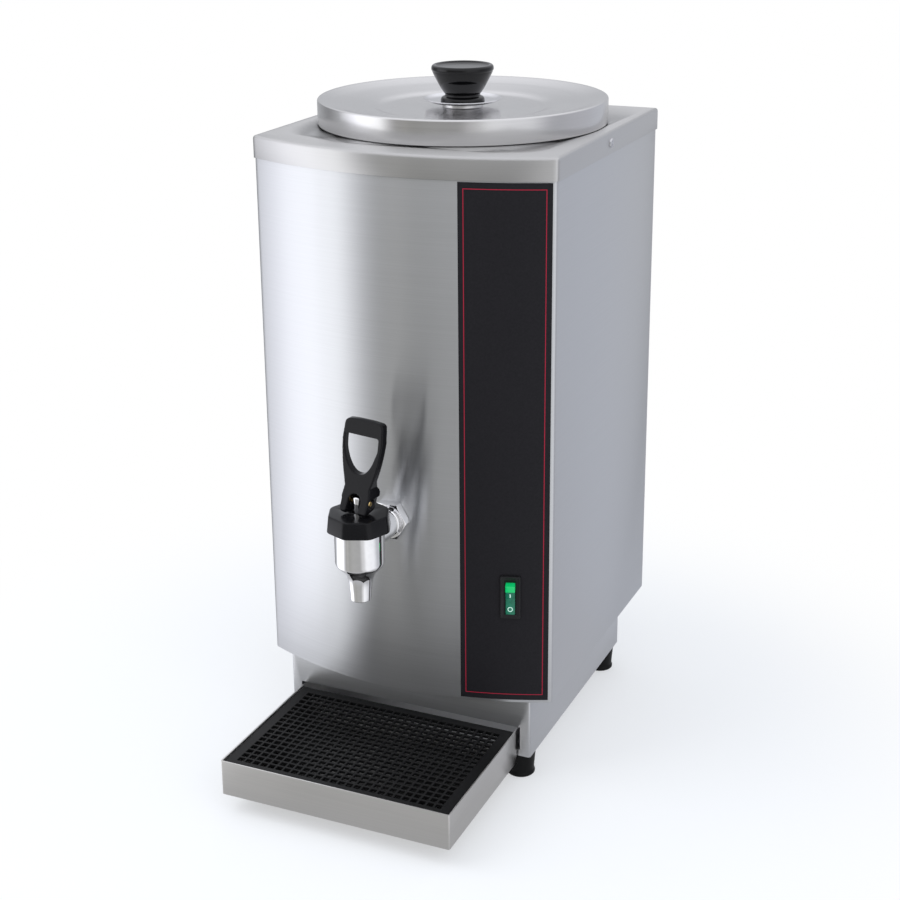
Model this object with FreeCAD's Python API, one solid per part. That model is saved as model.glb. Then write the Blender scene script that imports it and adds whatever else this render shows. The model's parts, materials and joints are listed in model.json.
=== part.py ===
import FreeCAD, Part

# Milk dispenser for a counter: a folded steel casing with a bowed front stands on a plinth,
# a lift-out milk container hangs over a heating plate, and a lever tap pours over a drip tray.
# Millimetres. +Z is up and the front faces -Y. The origin is on the floor, midway between the
# drip tray's front and the cover's rear, on the line of the tap.

import math
import os

V = FreeCAD.Vector
os.makedirs("parts", exist_ok=True)

# Casing, drawn round the container
container_radius = 100.0
side_margin = 20.0
front_margin = 12.0
rear_margin = 14.0
front_bulge = 27.0
cover_skirt = 16.5
cover_sheet = 0.8
cover_corner_radius = 3.0
cover_edge_bevel = 0.6
casing_clearance = 0.3
body_height = 416.0
body_sheet = 1.0
body_flange = 8.0
rear_flange = 14.0
rear_recess = 3.0
bottom_sheet = 1.2
rear_sheet = 1.0

# Rear panel vents
vent_length = 34.0
vent_height = 5.0
vent_pitch = 13.0
vent_rows = 3
vent_columns = 4
vent_gap = 12.0
vent_low_offset = 36.0
vent_high_offset = 70.0

# Plinth and feet
plinth_height = 49.5
plinth_side_setback = 17.0
plinth_front_reach = 3.0
plinth_rear_setback = 18.0
plinth_sheet = 1.0
plinth_corner_radius = 2.0
plinth_top_flange = 14.0
plinth_bottom_flange = 27.0
foot_height = 20.5
foot_top_radius = 11.6
foot_sole_radius = 10.4
foot_inset = 12.2

# Drip tray and its grid
tray_side_margin = 10.25
tray_reach = 132.0
tray_back_gap = 2.0
tray_height = 28.0
tray_drop = 26.6
tray_sheet = 1.0
tray_corner_radius = 1.6
tongue_length = 62.0
tongue_height = 17.4
mouth_side_gap = 1.9
mouth_top_gap = 1.6
runner_gap = 0.3
runner_width = 15.0
runner_sheet = 1.5
runner_length = 80.0
grid_gap = 0.8
grid_drop = 0.9
grid_thickness = 2.4
grid_skirt = 6.5
grid_wall = 1.4
grid_side_border = 7.4
grid_front_border = 4.4
grid_back_border = 6.2
grid_pitch = 13.0
grid_rib = 2.0
grid_leg = 7.0

# Control overlay and switch
overlay_width = 62.8
overlay_side_gap = 3.6
overlay_bottom_gap = 2.5
overlay_top_gap = 1.1
overlay_thickness = 0.6
overlay_bond = 0.05
switch_side_gap = 26.4
switch_height = 88.0
bezel_width = 15.0
bezel_height = 34.0
bezel_thickness = 2.0
bezel_bevel = 0.7
switch_body_width = 10.6
switch_body_height = 29.6
switch_body_depth = 20.0
switch_cutout_gap = 0.4
rocker_width = 8.0
rocker_radius = 13.0
rocker_gap = 0.3
rocker_tilt = 10.0
rocker_proud = 2.6
rocker_back = 6.5
rocker_pivot_depth = 2.0
rocker_pin_radius = 1.2
rocker_pin_length = 0.8
running_gap = 0.08
terminal_width = 4.8
terminal_thickness = 0.8
terminal_length = 8.0
terminal_pitch = 10.0

# Milk container, its deck and the heating plate
container_sheet = 1.0
container_floor_height = 165.0
container_flange = 8.2
container_flange_sheet = 1.2
cover_mouth_gap = 2.0
heater_gap = 0.3
heater_radius = 50.0
heater_thickness = 8.0
heater_offset = 14.0
deck_sheet = 1.2
deck_flange = 15.0
deck_front_gap = 7.0
deck_rear_gap = 3.0
insulation_thickness = 8.0
insulation_length = 190.0
snug_gap = 0.2

# Outlet from the container to the tap
outlet_offset = 70.0
nipple_radius = 9.0
nipple_bore_radius = 6.0
nipple_length = 21.0
socket_gap = 0.3
socket_pocket_gap = 1.5
deck_hole_gap = 1.5
block_wall = 5.0
flow_radius = 6.0
shank_reach = 30.0
shank_overlap = 15.0

# Tap
tap_height = 142.0
tap_standoff = 52.0
shank_radius = 8.3
collar_radius = 11.4
collar_length = 9.0
lock_nut_flats = 27.0
lock_nut_height = 7.4
inner_nut_flats = 24.0
inner_nut_height = 6.0
panel_hole_gap = 0.4
tap_body_radius = 18.2
tap_body_drop = 14.0
tap_taper_height = 13.0
tap_ogee_steps = 3
nozzle_top_radius = 9.3
nozzle_radius = 7.7
nozzle_height = 16.0
nozzle_bore_radius = 5.2
chamber_radius = 13.4
seat_rise = 4.0
bonnet_rise = 12.5
bonnet_height = 12.5
bonnet_radius = 24.3
bonnet_top_radius = 22.9
bonnet_top_thickness = 4.0
bonnet_side_count = 8
bonnet_edge_bevel = 1.6
bonnet_corner_radius = 4.0
thread_gap = 0.12
stem_radius = 4.0
stem_head_height = 4.0
cup_radius = 8.6
cup_height = 9.0
spring_wire = 1.2
spring_radius = 7.6
pivot_pin_radius = 2.0

# Lever
lever_cam_radius = 3.0
lever_cam_offset = 6.0
lever_cam_drop = 4.75
lever_heel_back = 2.5
lever_shoulder_back = 10.6
lever_shoulder_z = 4.5
lever_bonnet_gap = 0.45
lever_height = 58.4
lever_top_width = 33.0
lever_shoulder_width = 34.8
lever_waist_width = 22.0
lever_waist_z = 11.0
lever_fork_width = 23.6
lever_fork_top = 4.5
lever_fork_gap = 11.0
lever_fork_depth = 6.4
lever_thickness = 5.8
lever_web_height = 17.0
lever_web_hollow = 1.3
lever_lean = 12.0
lever_turn = -10.0
lever_top_radius = 4.0
lever_top_bevel = 1.6
pin_recess_radius = 3.3
pin_recess_depth = 1.6
loop_width = 27.4
loop_top = 47.0
loop_bottom = 19.8
loop_corner_radius = 1.6
loop_tip_radius = 4.8
loop_side_height = 9.0
loop_belly = 1.6

# Lid and knob
lid_side_gap = 1.3
lid_rise = 19.2
lid_skirt = 17.7
lid_sheet = 1.0
lid_disc_radius = 67.0
lid_dish = 8.0
lid_seat_gap = 0.3
knob_base_radius = 16.8
knob_base_height = 3.4
knob_groove_radius = 13.6
knob_neck_radius = 14.6
knob_radius = 23.7
knob_height = 27.2
knob_rim_height = 5.2
knob_rim_width = 4.0
knob_groove_height = 2.6
knob_dish = 1.8
washer_radius = 29.5
washer_sheet = 0.9
washer_rise = 3.0
boss_radius = 15.5
boss_height = 3.8

# Fasteners, inlet and inner parts
screw_radius = 2.0
screw_head_radius = 3.6
screw_head_height = 1.8
screw_length = 8.0
screw_hole_gap = 0.25
cover_screw_drop = 8.5
cover_screw_offset = 110.0
gland_height = 27.0
gland_radius = 8.0
gland_bore_radius = 4.25
gland_hex_flats = 22.0
gland_hex_height = 5.0
gland_cap_length = 9.0
gland_cap_radius = 10.0
gland_inner_length = 9.0
block_length = 56.0
block_width = 22.0
block_height = 16.0
block_poles = 4
block_hole = 4.4
block_rear_gap = 20.0
thermostat_width = 18.0
thermostat_height = 12.0
thermostat_offset = 58.0
thermostat_tab_pitch = 9.0

# Levels and lines that follow from the sizes above
plinth_bottom_z = foot_height
body_bottom_z = plinth_bottom_z + plinth_height
cover_top_z = body_bottom_z + body_height
cover_width = 2 * (container_radius + side_margin)
cover_depth = 2 * container_radius + front_margin + rear_margin
cover_under_z = cover_top_z - cover_sheet
corner_y = (tray_reach - cover_depth) / 2
rear_y = corner_y + cover_depth
bow_radius = ((cover_width / 2) ** 2 + front_bulge ** 2) / (2 * front_bulge)
bow_y = corner_y - front_bulge + bow_radius
body_inset = cover_sheet + casing_clearance
body_half_width = cover_width / 2 - body_inset
body_rear_y = rear_y - rear_recess
panel_front_y = bow_y - bow_radius + body_inset
body_inside_x = body_half_width - body_sheet
container_y = corner_y + front_margin + container_radius
container_flange_radius = container_radius + container_flange
lid_radius = container_flange_radius + lid_side_gap + lid_sheet
plinth_width = cover_width - 2 * plinth_side_setback
plinth_front_y = corner_y - plinth_front_reach
plinth_rear_y = rear_y - plinth_rear_setback
tray_width = plinth_width - 2 * tray_side_margin
overlay_right = cover_width / 2 - overlay_side_gap
overlay_left = overlay_right - overlay_width
overlay_bottom = body_bottom_z + overlay_bottom_gap
overlay_top = cover_top_z - cover_skirt - overlay_top_gap
switch_offset = overlay_right - switch_side_gap
plinth_floor_z = plinth_bottom_z + plinth_sheet
tray_front_y = corner_y - tray_reach
tray_back_y = plinth_front_y - tray_back_gap
tray_top_z = body_bottom_z - tray_drop
tray_bottom_z = tray_top_z - tray_height
tongue_back_y = tray_back_y + tongue_length
tongue_bottom_z = tray_top_z - tongue_height
container_floor_z = body_bottom_z + container_floor_height
deck_z = container_floor_z - heater_gap - heater_thickness
deck_under_z = deck_z - deck_sheet
outlet_y = container_y - outlet_offset
tap_z = body_bottom_z + tap_height
tap_y = panel_front_y - tap_standoff
lid_rim_z = cover_top_z + lid_rise
lid_disc_z = lid_rim_z - lid_dish
bonnet_bottom_z = tap_z + bonnet_rise
bonnet_top_z = bonnet_bottom_z + bonnet_height
seat_z = tap_z - tap_body_drop + seat_rise
pivot_z = bonnet_top_z + lever_bonnet_gap + lever_cam_drop + lever_cam_radius
lever_depth = 2 * (lever_cam_offset + lever_thickness)


# Small helpers for shapes and outlines

def box(x0, x1, y0, y1, z0, z1):
    return Part.makeBox(x1 - x0, y1 - y0, z1 - z0, V(x0, y0, z0))


def rod_z(radius, z0, z1, x=0.0, y=0.0):
    return Part.makeCylinder(radius, z1 - z0, V(x, y, z0), V(0, 0, 1))


def rod_y(radius, y0, y1, x=0.0, z=0.0):
    return Part.makeCylinder(radius, y1 - y0, V(x, y0, z), V(0, 1, 0))


def rod_x(radius, x0, x1, y=0.0, z=0.0):
    return Part.makeCylinder(radius, x1 - x0, V(x0, y, z), V(1, 0, 0))


def hexagon(flats, height):
    """A hexagon bar on the XY plane, centred on the Z axis."""
    corner = flats / math.sqrt(3)
    points = [V(corner * math.cos(a), corner * math.sin(a), 0) for a in
              (math.radians(60 * i + 30) for i in range(7))]
    return Part.Face(Part.makePolygon(points)).extrude(V(0, 0, height))


def hex_nut(flats, height, bore):
    return hexagon(flats, height).cut(rod_z(bore, -1, height + 1))


def closed_wire(points):
    """A closed wire in the XZ plane. A point is (x, z), or ((x, z) passed, (x, z) reached) on an arc."""
    def place(p):
        return V(p[0], 0, p[1])
    edges = []
    here = points[0]
    for item in list(points[1:]) + [points[0]]:
        if isinstance(item[0], tuple):
            through, end = item
            edges.append(Part.Arc(place(here), place(through), place(end)).toShape())
            here = end
            continue
        if place(here).distanceToPoint(place(item)) > 1e-6:
            edges.append(Part.LineSegment(place(here), place(item)).toShape())
        here = item
    return Part.Wire(edges)


def revolved(wire, x=0.0, y=0.0):
    """Turn an XZ outline about the Z axis and stand it at x, y."""
    solid = Part.Face(wire).revolve(V(0, 0, 0), V(0, 0, 1), 360)
    solid.translate(V(x, y, 0))
    return solid


def arc_point(centre, radius, degrees):
    angle = math.radians(degrees)
    return (centre[0] + radius * math.cos(angle), centre[1] + radius * math.sin(angle))


def turned(shape, axis_point, axis, degrees):
    copy = shape.copy()
    copy.rotate(axis_point, axis, degrees)
    return copy


def moved(shape, x, y, z):
    copy = shape.copy()
    copy.translate(V(x, y, z))
    return copy


def mirrored_pair(shape):
    return [shape, shape.mirror(V(0, 0, 0), V(1, 0, 0))]


def upright_edges(shape, keep):
    """The vertical edges whose middle passes the test keep(x, y)."""
    found = []
    for edge in shape.Edges:
        box_ = edge.BoundBox
        if box_.XLength < 0.01 and box_.YLength < 0.01 and box_.ZLength > 0.1:
            middle = box_.Center
            if keep(middle.x, middle.y):
                found.append(edge)
    return found


def level_edges(shape, z):
    return [e for e in shape.Edges if abs(e.BoundBox.ZMin - z) < 0.01 and abs(e.BoundBox.ZMax - z) < 0.01]


# The bowed plan that the cover, the body and the overlay share

def bow_line_y(x, inset):
    return bow_y - math.sqrt((bow_radius - inset) ** 2 - x ** 2)


def bowed_prism(inset, back_y, z0, z1, corner=0.0, rear_corner=0.0):
    """The casing's plan, drawn in by inset all round, from z0 to z1."""
    half = cover_width / 2 - inset
    front = bow_line_y(half, inset)
    left = V(-half, front, z0)
    right = V(half, front, z0)
    edges = [
        Part.LineSegment(V(-half, back_y, z0), left).toShape(),
        Part.Arc(left, V(0, bow_line_y(0, inset), z0), right).toShape(),
        Part.LineSegment(right, V(half, back_y, z0)).toShape(),
        Part.LineSegment(V(half, back_y, z0), V(-half, back_y, z0)).toShape(),
    ]
    prism = Part.Face(Part.Wire(edges)).extrude(V(0, 0, z1 - z0))
    middle_y = (front + back_y) / 2
    if corner > 0:
        prism = prism.makeFillet(corner, upright_edges(prism, lambda x, y: y < middle_y))
    if rear_corner > 0:
        prism = prism.makeFillet(rear_corner, upright_edges(prism, lambda x, y: abs(y - back_y) < 0.01))
    return prism


# Fasteners

def pan_screw(radius, head_radius, head_height, length):
    """A screw along -Z from the underside of its head at z = 0, with the head above."""
    return rod_z(radius, -length, 0).fuse(rod_z(head_radius, 0, head_height)).removeSplitter()


def aimed(shape, point, direction):
    """Turn a part that stands along +Z to face direction and put it at point."""
    copy = shape.copy()
    copy.Placement = FreeCAD.Placement(V(*point), FreeCAD.Rotation(V(0, 0, 1), V(*direction)))
    return copy


def cover_screw_points():
    z = cover_top_z - cover_screw_drop
    y = corner_y + cover_screw_offset
    return [((side * cover_width / 2, y, z), (side, 0, 0)) for side in (-1, 1)]


def foot_points():
    x = plinth_width / 2 - foot_inset
    front = plinth_front_y + foot_inset
    back = plinth_rear_y - foot_inset
    return [(side * x, y) for side in (-1, 1) for y in (front, back)]


# Where the switch looks out: a frame that lies on the overlay, square to the bowed front

overlay_outside = body_inset - overlay_bond - overlay_thickness
switch_angle = math.degrees(math.asin(switch_offset / (bow_radius - overlay_outside)))
switch_z = body_bottom_z + switch_height


def at_switch(shape):
    """Stand a part drawn at the origin, facing -Y, on the overlay where the switch sits."""
    copy = turned(shape, V(0, 0, 0), V(0, 0, 1), switch_angle)
    copy.translate(V(switch_offset, bow_line_y(switch_offset, overlay_outside), switch_z))
    return copy


def switch_opening():
    half = switch_body_width / 2 + switch_cutout_gap
    tall = switch_body_height / 2 + switch_cutout_gap
    return at_switch(box(-half, half, -5, 8, -tall, tall))


# Casing pieces

def body_shell():
    top_z = cover_under_z
    corner = cover_corner_radius - body_inset
    outer = bowed_prism(body_inset, body_rear_y, body_bottom_z, top_z, corner)
    hollow = bowed_prism(body_inset + body_sheet, body_rear_y - body_sheet,
                         body_bottom_z + body_sheet, top_z - body_sheet, corner - body_sheet)
    shell = outer.cut(hollow)
    rim = body_inset + body_flange
    mouth = bowed_prism(rim, body_rear_y - body_flange, top_z - 2 * body_sheet, top_z + 1)
    shell = shell.cut(mouth)
    shell = shell.cut(bowed_prism(rim, body_rear_y - body_flange, body_bottom_z - 1, body_bottom_z + 2 * body_sheet))
    half = body_half_width - rear_flange
    shell = shell.cut(box(-half, half, body_rear_y - 2 * body_sheet, body_rear_y + 1,
                          body_bottom_z + rear_flange, top_z - rear_flange))
    shell = shell.cut(rod_y(shank_radius + panel_hole_gap, panel_front_y - 5, panel_front_y + 5, 0, tap_z))
    shell = shell.cut(switch_opening())
    hole = screw_radius + screw_hole_gap
    for point, direction in cover_screw_points():
        shell = shell.cut(rod_x(hole, point[0] - 6, point[0] + 6, point[1], point[2]))
    return shell


def top_cover():
    low = cover_top_z - cover_skirt
    outer = bowed_prism(0, rear_y, low, cover_top_z, cover_corner_radius, cover_corner_radius)
    outer = outer.makeChamfer(cover_edge_bevel, level_edges(outer, cover_top_z))
    inner_corner = cover_corner_radius - cover_sheet
    inner = bowed_prism(cover_sheet, rear_y - cover_sheet, low - 1, cover_under_z, inner_corner, inner_corner)
    cover = outer.cut(inner)
    mouth = container_radius + cover_mouth_gap
    cover = cover.cut(rod_z(mouth, cover_under_z - 1, cover_top_z + 1, 0, container_y))
    hole = screw_radius + screw_hole_gap
    for point, direction in cover_screw_points():
        cover = cover.cut(rod_x(hole, point[0] - 6, point[0] + 6, point[1], point[2]))
    return cover


def rear_panel():
    half = body_half_width - casing_clearance
    low = body_bottom_z + casing_clearance
    high = cover_top_z - cover_skirt + rear_recess
    panel = box(-half, half, body_rear_y, body_rear_y + rear_sheet, low, high)
    pitch_x = vent_length + vent_gap
    first_x = -(vent_columns - 1) * pitch_x / 2
    for first_z in (low + vent_low_offset, high - vent_high_offset):
        for column in range(vent_columns):
            for row in range(vent_rows):
                x = first_x + column * pitch_x
                z = first_z + row * vent_pitch
                panel = panel.cut(box(x - vent_length / 2, x + vent_length / 2, body_rear_y - 1,
                                      body_rear_y + rear_sheet + 1, z - vent_height / 2, z + vent_height / 2))
    return panel


def bottom_plate():
    inset = body_inset + body_sheet + casing_clearance
    z = body_bottom_z + body_sheet
    plate = bowed_prism(inset, body_rear_y - body_sheet - casing_clearance, z, z + bottom_sheet)
    wire_y = block_y() - block_width
    half = block_hole * 2
    return plate.cut(box(-half, half, wire_y - half, wire_y + half, z - 1, z + 2 * bottom_sheet))


def control_panel_overlay():
    outer = bowed_prism(overlay_outside, rear_y, overlay_bottom, overlay_top)
    inner = bowed_prism(body_inset - overlay_bond, rear_y, body_bottom_z, cover_top_z)
    strip = box(overlay_left, overlay_right, corner_y - 2 * front_bulge, corner_y + front_bulge,
                body_bottom_z, cover_top_z)
    return outer.cut(inner).common(strip).cut(switch_opening())


# Plinth, feet and their fasteners

def plinth():
    half = plinth_width / 2
    front, back = plinth_front_y, plinth_rear_y
    outer = box(-half, half, front, back, plinth_bottom_z, body_bottom_z)
    outer = outer.makeFillet(plinth_corner_radius, upright_edges(outer, lambda x, y: True))
    t = plinth_sheet
    hollow = box(-half + t, half - t, front + t, back - t, plinth_floor_z, body_bottom_z - t)
    hollow = hollow.makeFillet(plinth_corner_radius - t, upright_edges(hollow, lambda x, y: True))
    shell = outer.cut(hollow)
    top = t + plinth_top_flange
    shell = shell.cut(box(-half + top, half - top, front + top, back - top, body_bottom_z - 2 * t, body_bottom_z + 1))
    low = t + plinth_bottom_flange
    shell = shell.cut(box(-half + low, half - low, front + low, back - low, plinth_bottom_z - 1, plinth_floor_z + 1))
    mouth_half = tray_width / 2 + mouth_side_gap
    shell = shell.cut(box(-mouth_half, mouth_half, front - 1, front + 2 * t,
                          tongue_bottom_z - runner_gap, tray_top_z + mouth_top_gap))
    gland_z = body_bottom_z - gland_height
    return shell.cut(rod_y(gland_radius + snug_gap, back - 3, back + 1, 0, gland_z))


def tray_runners():
    """Two angle rails on the plinth's side walls that carry the tray's tongue."""
    wall_x = plinth_width / 2 - plinth_sheet
    top_z = tongue_bottom_z - runner_gap
    y0 = plinth_front_y + plinth_sheet + plinth_corner_radius
    ledge = box(wall_x - runner_width, wall_x, y0, y0 + runner_length, top_z - runner_sheet, top_z)
    web = box(wall_x - runner_sheet, wall_x, y0, y0 + runner_length, top_z, top_z + runner_width * 0.8)
    post = box(wall_x - runner_sheet, wall_x, y0, y0 + runner_length, plinth_floor_z, top_z)
    rail = ledge.fuse([web, post]).removeSplitter()
    return Part.makeCompound(mirrored_pair(rail))


def rubber_feet():
    """Four rubber feet that taper down from the plinth's underside."""
    foot = Part.makeCone(foot_sole_radius, foot_top_radius, foot_height)
    return Part.makeCompound([moved(foot, x, y, 0) for x, y in foot_points()])


# Drip tray and its grid

def drip_tray():
    half = tray_width / 2
    t = tray_sheet
    deep = box(-half, half, tray_front_y, tray_back_y, tray_bottom_z, tray_top_z)
    deep = deep.makeFillet(tray_corner_radius, upright_edges(deep, lambda x, y: y < tray_back_y - 1))
    tongue = box(-half, half, tray_back_y - 1, tongue_back_y, tongue_bottom_z, tray_top_z)
    well = box(-half + t, half - t, tray_front_y + t, tray_back_y - t, tray_bottom_z + t, tray_top_z + 1)
    shallow = box(-half + t, half - t, tray_back_y - 2 * t, tongue_back_y - t, tongue_bottom_z + t, tray_top_z + 1)
    return deep.fuse(tongue).cut(well).cut(shallow).removeSplitter()


def grid_frame():
    """The grid's outer lines: x to each side, then front y and back y."""
    room = tray_sheet + grid_gap
    return tray_width / 2 - room, tray_front_y + room, tray_back_y - room


def drip_grid():
    half, front, back = grid_frame()
    top = tray_top_z - grid_drop
    under = top - grid_thickness
    plate = box(-half, half, front, back, top - grid_skirt, top)
    inside = box(-half + grid_wall, half - grid_wall, front + grid_wall, back - grid_wall, top - grid_skirt - 1, under)
    plate = plate.cut(inside)
    span_x = 2 * (half - grid_side_border)
    span_y = (back - grid_back_border) - (front + grid_front_border)
    columns = int((span_x + grid_rib) // grid_pitch)
    rows = int((span_y + grid_rib) // grid_pitch)
    pitch_x = (span_x + grid_rib) / columns
    pitch_y = (span_y + grid_rib) / rows
    cells = []
    for i in range(columns):
        for j in range(rows):
            x = -half + grid_side_border + i * pitch_x
            y = front + grid_front_border + j * pitch_y
            cells.append(box(x, x + pitch_x - grid_rib, y, y + pitch_y - grid_rib, under - 1, top + 1))
    plate = plate.cut(Part.makeCompound(cells))
    floor = tray_bottom_z + tray_sheet
    leg = box(-half, -half + grid_leg, front, front + grid_leg, floor, top - grid_skirt)
    far_x = 2 * half - grid_leg
    far_y = back - front - grid_leg
    legs = [moved(leg, x, y, 0) for x in (0, far_x) for y in (0, far_y)]
    return Part.makeCompound([plate] + legs)


# Switch

def switch_housing():
    half, tall = bezel_width / 2, bezel_height / 2
    bezel = box(-half, half, -bezel_thickness, 0, -tall, tall)
    bezel = bezel.makeChamfer(bezel_bevel, [e for e in bezel.Edges if e.BoundBox.YMax < -bezel_thickness / 2])
    bezel.translate(V(0, -overlay_bond, 0))
    body = box(-switch_body_width / 2, switch_body_width / 2, -overlay_bond - bezel_thickness / 2, switch_body_depth,
               -switch_body_height / 2, switch_body_height / 2)
    side = rocker_width / 2 + rocker_gap
    high = rocker_radius + rocker_gap
    cavity = box(-side, side, -bezel_thickness - 1, rocker_pivot_depth + rocker_radius + rocker_gap, -high, high)
    housing = bezel.fuse(body).removeSplitter().cut(cavity)
    bore = rocker_pin_radius + running_gap
    housing = housing.cut(rod_x(bore, -switch_body_width, switch_body_width, rocker_pivot_depth, 0))
    return at_switch(housing)


def switch_rocker():
    """A shallow V faced rocker whose ends are struck from its pivot, tipped so that its top stands out."""
    lean = math.tan(math.radians(rocker_tilt)) * rocker_radius
    face = -rocker_proud
    outline = [(face, 0), (face - lean, rocker_radius), (rocker_back, rocker_radius),
               (rocker_back, -rocker_radius), (face - lean, -rocker_radius)]
    points = [V(0, y, z) for y, z in outline + outline[:1]]
    block = Part.Face(Part.makePolygon(points)).extrude(V(rocker_width, 0, 0))
    block.translate(V(-rocker_width / 2, 0, 0))
    rocker = block.common(rod_x(rocker_radius, -rocker_width, rocker_width, rocker_pivot_depth, 0))
    reach = rocker_width / 2 + rocker_pin_length
    rocker = rocker.fuse(rod_x(rocker_pin_radius, -reach, reach, rocker_pivot_depth, 0)).removeSplitter()
    return at_switch(turned(rocker, V(0, rocker_pivot_depth, 0), V(1, 0, 0), rocker_tilt))


def switch_terminals():
    blades = []
    for i in (-1, 0, 1):
        z = i * terminal_pitch
        blades.append(box(-terminal_thickness / 2, terminal_thickness / 2, switch_body_depth,
                          switch_body_depth + terminal_length, z - terminal_width / 2, z + terminal_width / 2))
    return at_switch(Part.makeCompound(blades))


# Milk container, deck, heating plate and outlet

def container_wire():
    """Half section of the container: flat floor and straight wall up to its mouth."""
    r, t = container_radius, container_sheet
    z = container_floor_z
    top = container_top_z()
    return closed_wire([(0, z), (r, z), (r, top), (r - t, top), (r - t, z + t), (0, z + t)])


def lid_height_at(radius):
    """Height of the lid's upper face on its slope at a radius."""
    share = (radius - lid_disc_radius) / (lid_radius - lid_disc_radius)
    return lid_disc_z + share * lid_dish


def container_top_z():
    """The mouth's edge, just under the slope of the lid that rests on it."""
    slope = math.atan2(lid_dish, lid_radius - lid_disc_radius)
    drop = (lid_sheet + lid_seat_gap) / math.cos(slope)
    return lid_height_at(container_radius - container_sheet) - drop


def milk_container():
    """Drawn pot with a flange that hangs in the cover's mouth and an outlet nipple in its floor."""
    pot = revolved(container_wire(), 0, container_y)
    z = cover_top_z
    flange = rod_z(container_flange_radius, z, z + container_flange_sheet, 0, container_y)
    flange = flange.cut(rod_z(container_radius - container_sheet / 2, z - 1, z + 3, 0, container_y))
    low = container_floor_z - nipple_length
    nipple = rod_z(nipple_radius, low, container_floor_z + container_sheet / 2, 0, outlet_y)
    pot = pot.fuse([flange, nipple]).removeSplitter()
    return pot.cut(rod_z(nipple_bore_radius, low - 1, container_floor_z + 3, 0, outlet_y))


def deck_front_y():
    return corner_y + deck_front_gap


def deck_rear_y():
    return body_rear_y - rear_flange - deck_rear_gap


def support_deck():
    """Folded deck between the casing's sides: it carries the heating plate and the outlet block."""
    half, t = body_inside_x, deck_sheet
    front, back = deck_front_y(), deck_rear_y()
    deck = box(-half, half, front, back, deck_z - deck_flange, deck_z)
    deck = deck.cut(box(-half + t, half - t, front - 1, back + 1, deck_z - deck_flange - 1, deck_under_z))
    return deck.cut(rod_z(nipple_radius + deck_hole_gap, deck_under_z - 1, deck_z + 1, 0, outlet_y))


def heater_plate():
    """Cast heating disc on the deck, close under the container, with two blade terminals on its edge."""
    y = container_y + heater_offset
    disc = rod_z(heater_radius, deck_z, deck_z + heater_thickness, 0, y)
    edge = y + heater_radius
    z = deck_z + heater_thickness / 2
    half = terminal_thickness / 2
    blades = [box(x - terminal_width / 2, x + terminal_width / 2, edge - 1, edge + terminal_length, z - half, z + half)
              for x in (-terminal_pitch, terminal_pitch)]
    return disc.fuse(blades).removeSplitter()


def insulation_boards():
    """Two boards that line the casing's sides beside the container."""
    reach = insulation_length / 2
    board = box(body_inside_x - insulation_thickness, body_inside_x, container_y - reach, container_y + reach,
                deck_z, cover_top_z - cover_skirt)
    return Part.makeCompound(mirrored_pair(board))


def block_front_y():
    return panel_front_y + body_sheet + shank_reach - shank_overlap


def outlet_block():
    """Drilled block under the deck: a socket for the nipple above and one for the tap's shank in front."""
    socket = nipple_radius + socket_gap
    half = socket + block_wall
    back = outlet_y + half
    block = box(-half, half, block_front_y(), back, tap_z - half, deck_under_z)
    pocket = container_floor_z - nipple_length - socket_pocket_gap
    block = block.cut(rod_z(socket, pocket, deck_z, 0, outlet_y))
    block = block.cut(rod_y(flow_radius, block_front_y() - 1, outlet_y, 0, tap_z))
    return block.cut(rod_y(shank_radius + running_gap, block_front_y() - 1, shank_back_y() + 1, 0, tap_z))


# Tap

def shank_back_y():
    return block_front_y() + shank_overlap


def tap_body():
    """Turned and bored body: chamber, seat, ogee down to the nozzle, and a shank through the panel."""
    r = tap_body_radius
    low = tap_z - tap_body_drop
    throat = low - tap_taper_height
    tip = throat - nozzle_height
    top = bonnet_top_z - bonnet_top_thickness
    ogee = []
    for i in range(tap_ogee_steps + 1):
        share = i / tap_ogee_steps
        swell = (1 - math.cos(math.pi * share ** 0.85)) / 2
        ogee.append((nozzle_top_radius + (r - nozzle_top_radius) * swell, throat + tap_taper_height * share))
    wire = closed_wire([(0, tip), (nozzle_radius, tip)] + ogee + [(r, top), (0, top)])
    body = revolved(wire, 0, tap_y)
    collar_back = panel_front_y - overlay_bond - lock_nut_height
    boss = rod_y(collar_radius, collar_back - collar_length, collar_back, 0, tap_z)
    shank = rod_y(shank_radius, tap_y, shank_back_y(), 0, tap_z)
    body = body.fuse([boss, shank]).removeSplitter()
    body = body.cut(rod_z(chamber_radius, seat_z, top + 1, 0, tap_y))
    body = body.cut(rod_z(nozzle_bore_radius, tip - 1, seat_z + 1, 0, tap_y))
    return body.cut(rod_y(nozzle_bore_radius, tap_y, shank_back_y() + 1, 0, tap_z))


def tap_lock_nut():
    """The nut that draws the shank's shoulder against the panel, with flats above and below."""
    nut = hex_nut(lock_nut_flats, lock_nut_height, shank_radius + running_gap)
    nut = turned(nut, V(0, 0, 0), V(0, 0, 1), 30)
    return aimed(nut, (0, panel_front_y - overlay_bond, tap_z), (0, -1, 0))


def inner_nut_y():
    """Where a flat nut first meets the bowed panel from inside."""
    return bow_line_y(inner_nut_flats / math.sqrt(3), body_inset + body_sheet) + overlay_bond


def tap_inner_nut():
    nut = hex_nut(inner_nut_flats, inner_nut_height, shank_radius + running_gap)
    return aimed(nut, (0, inner_nut_y(), tap_z), (0, 1, 0))


def regular_wire(radius, sides, z):
    """A regular outline with one corner straight in front."""
    points = [V(radius * math.sin(a), -radius * math.cos(a), z) for a in
              (2 * math.pi * i / sides for i in range(sides + 1))]
    return Part.makePolygon(points)


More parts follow.
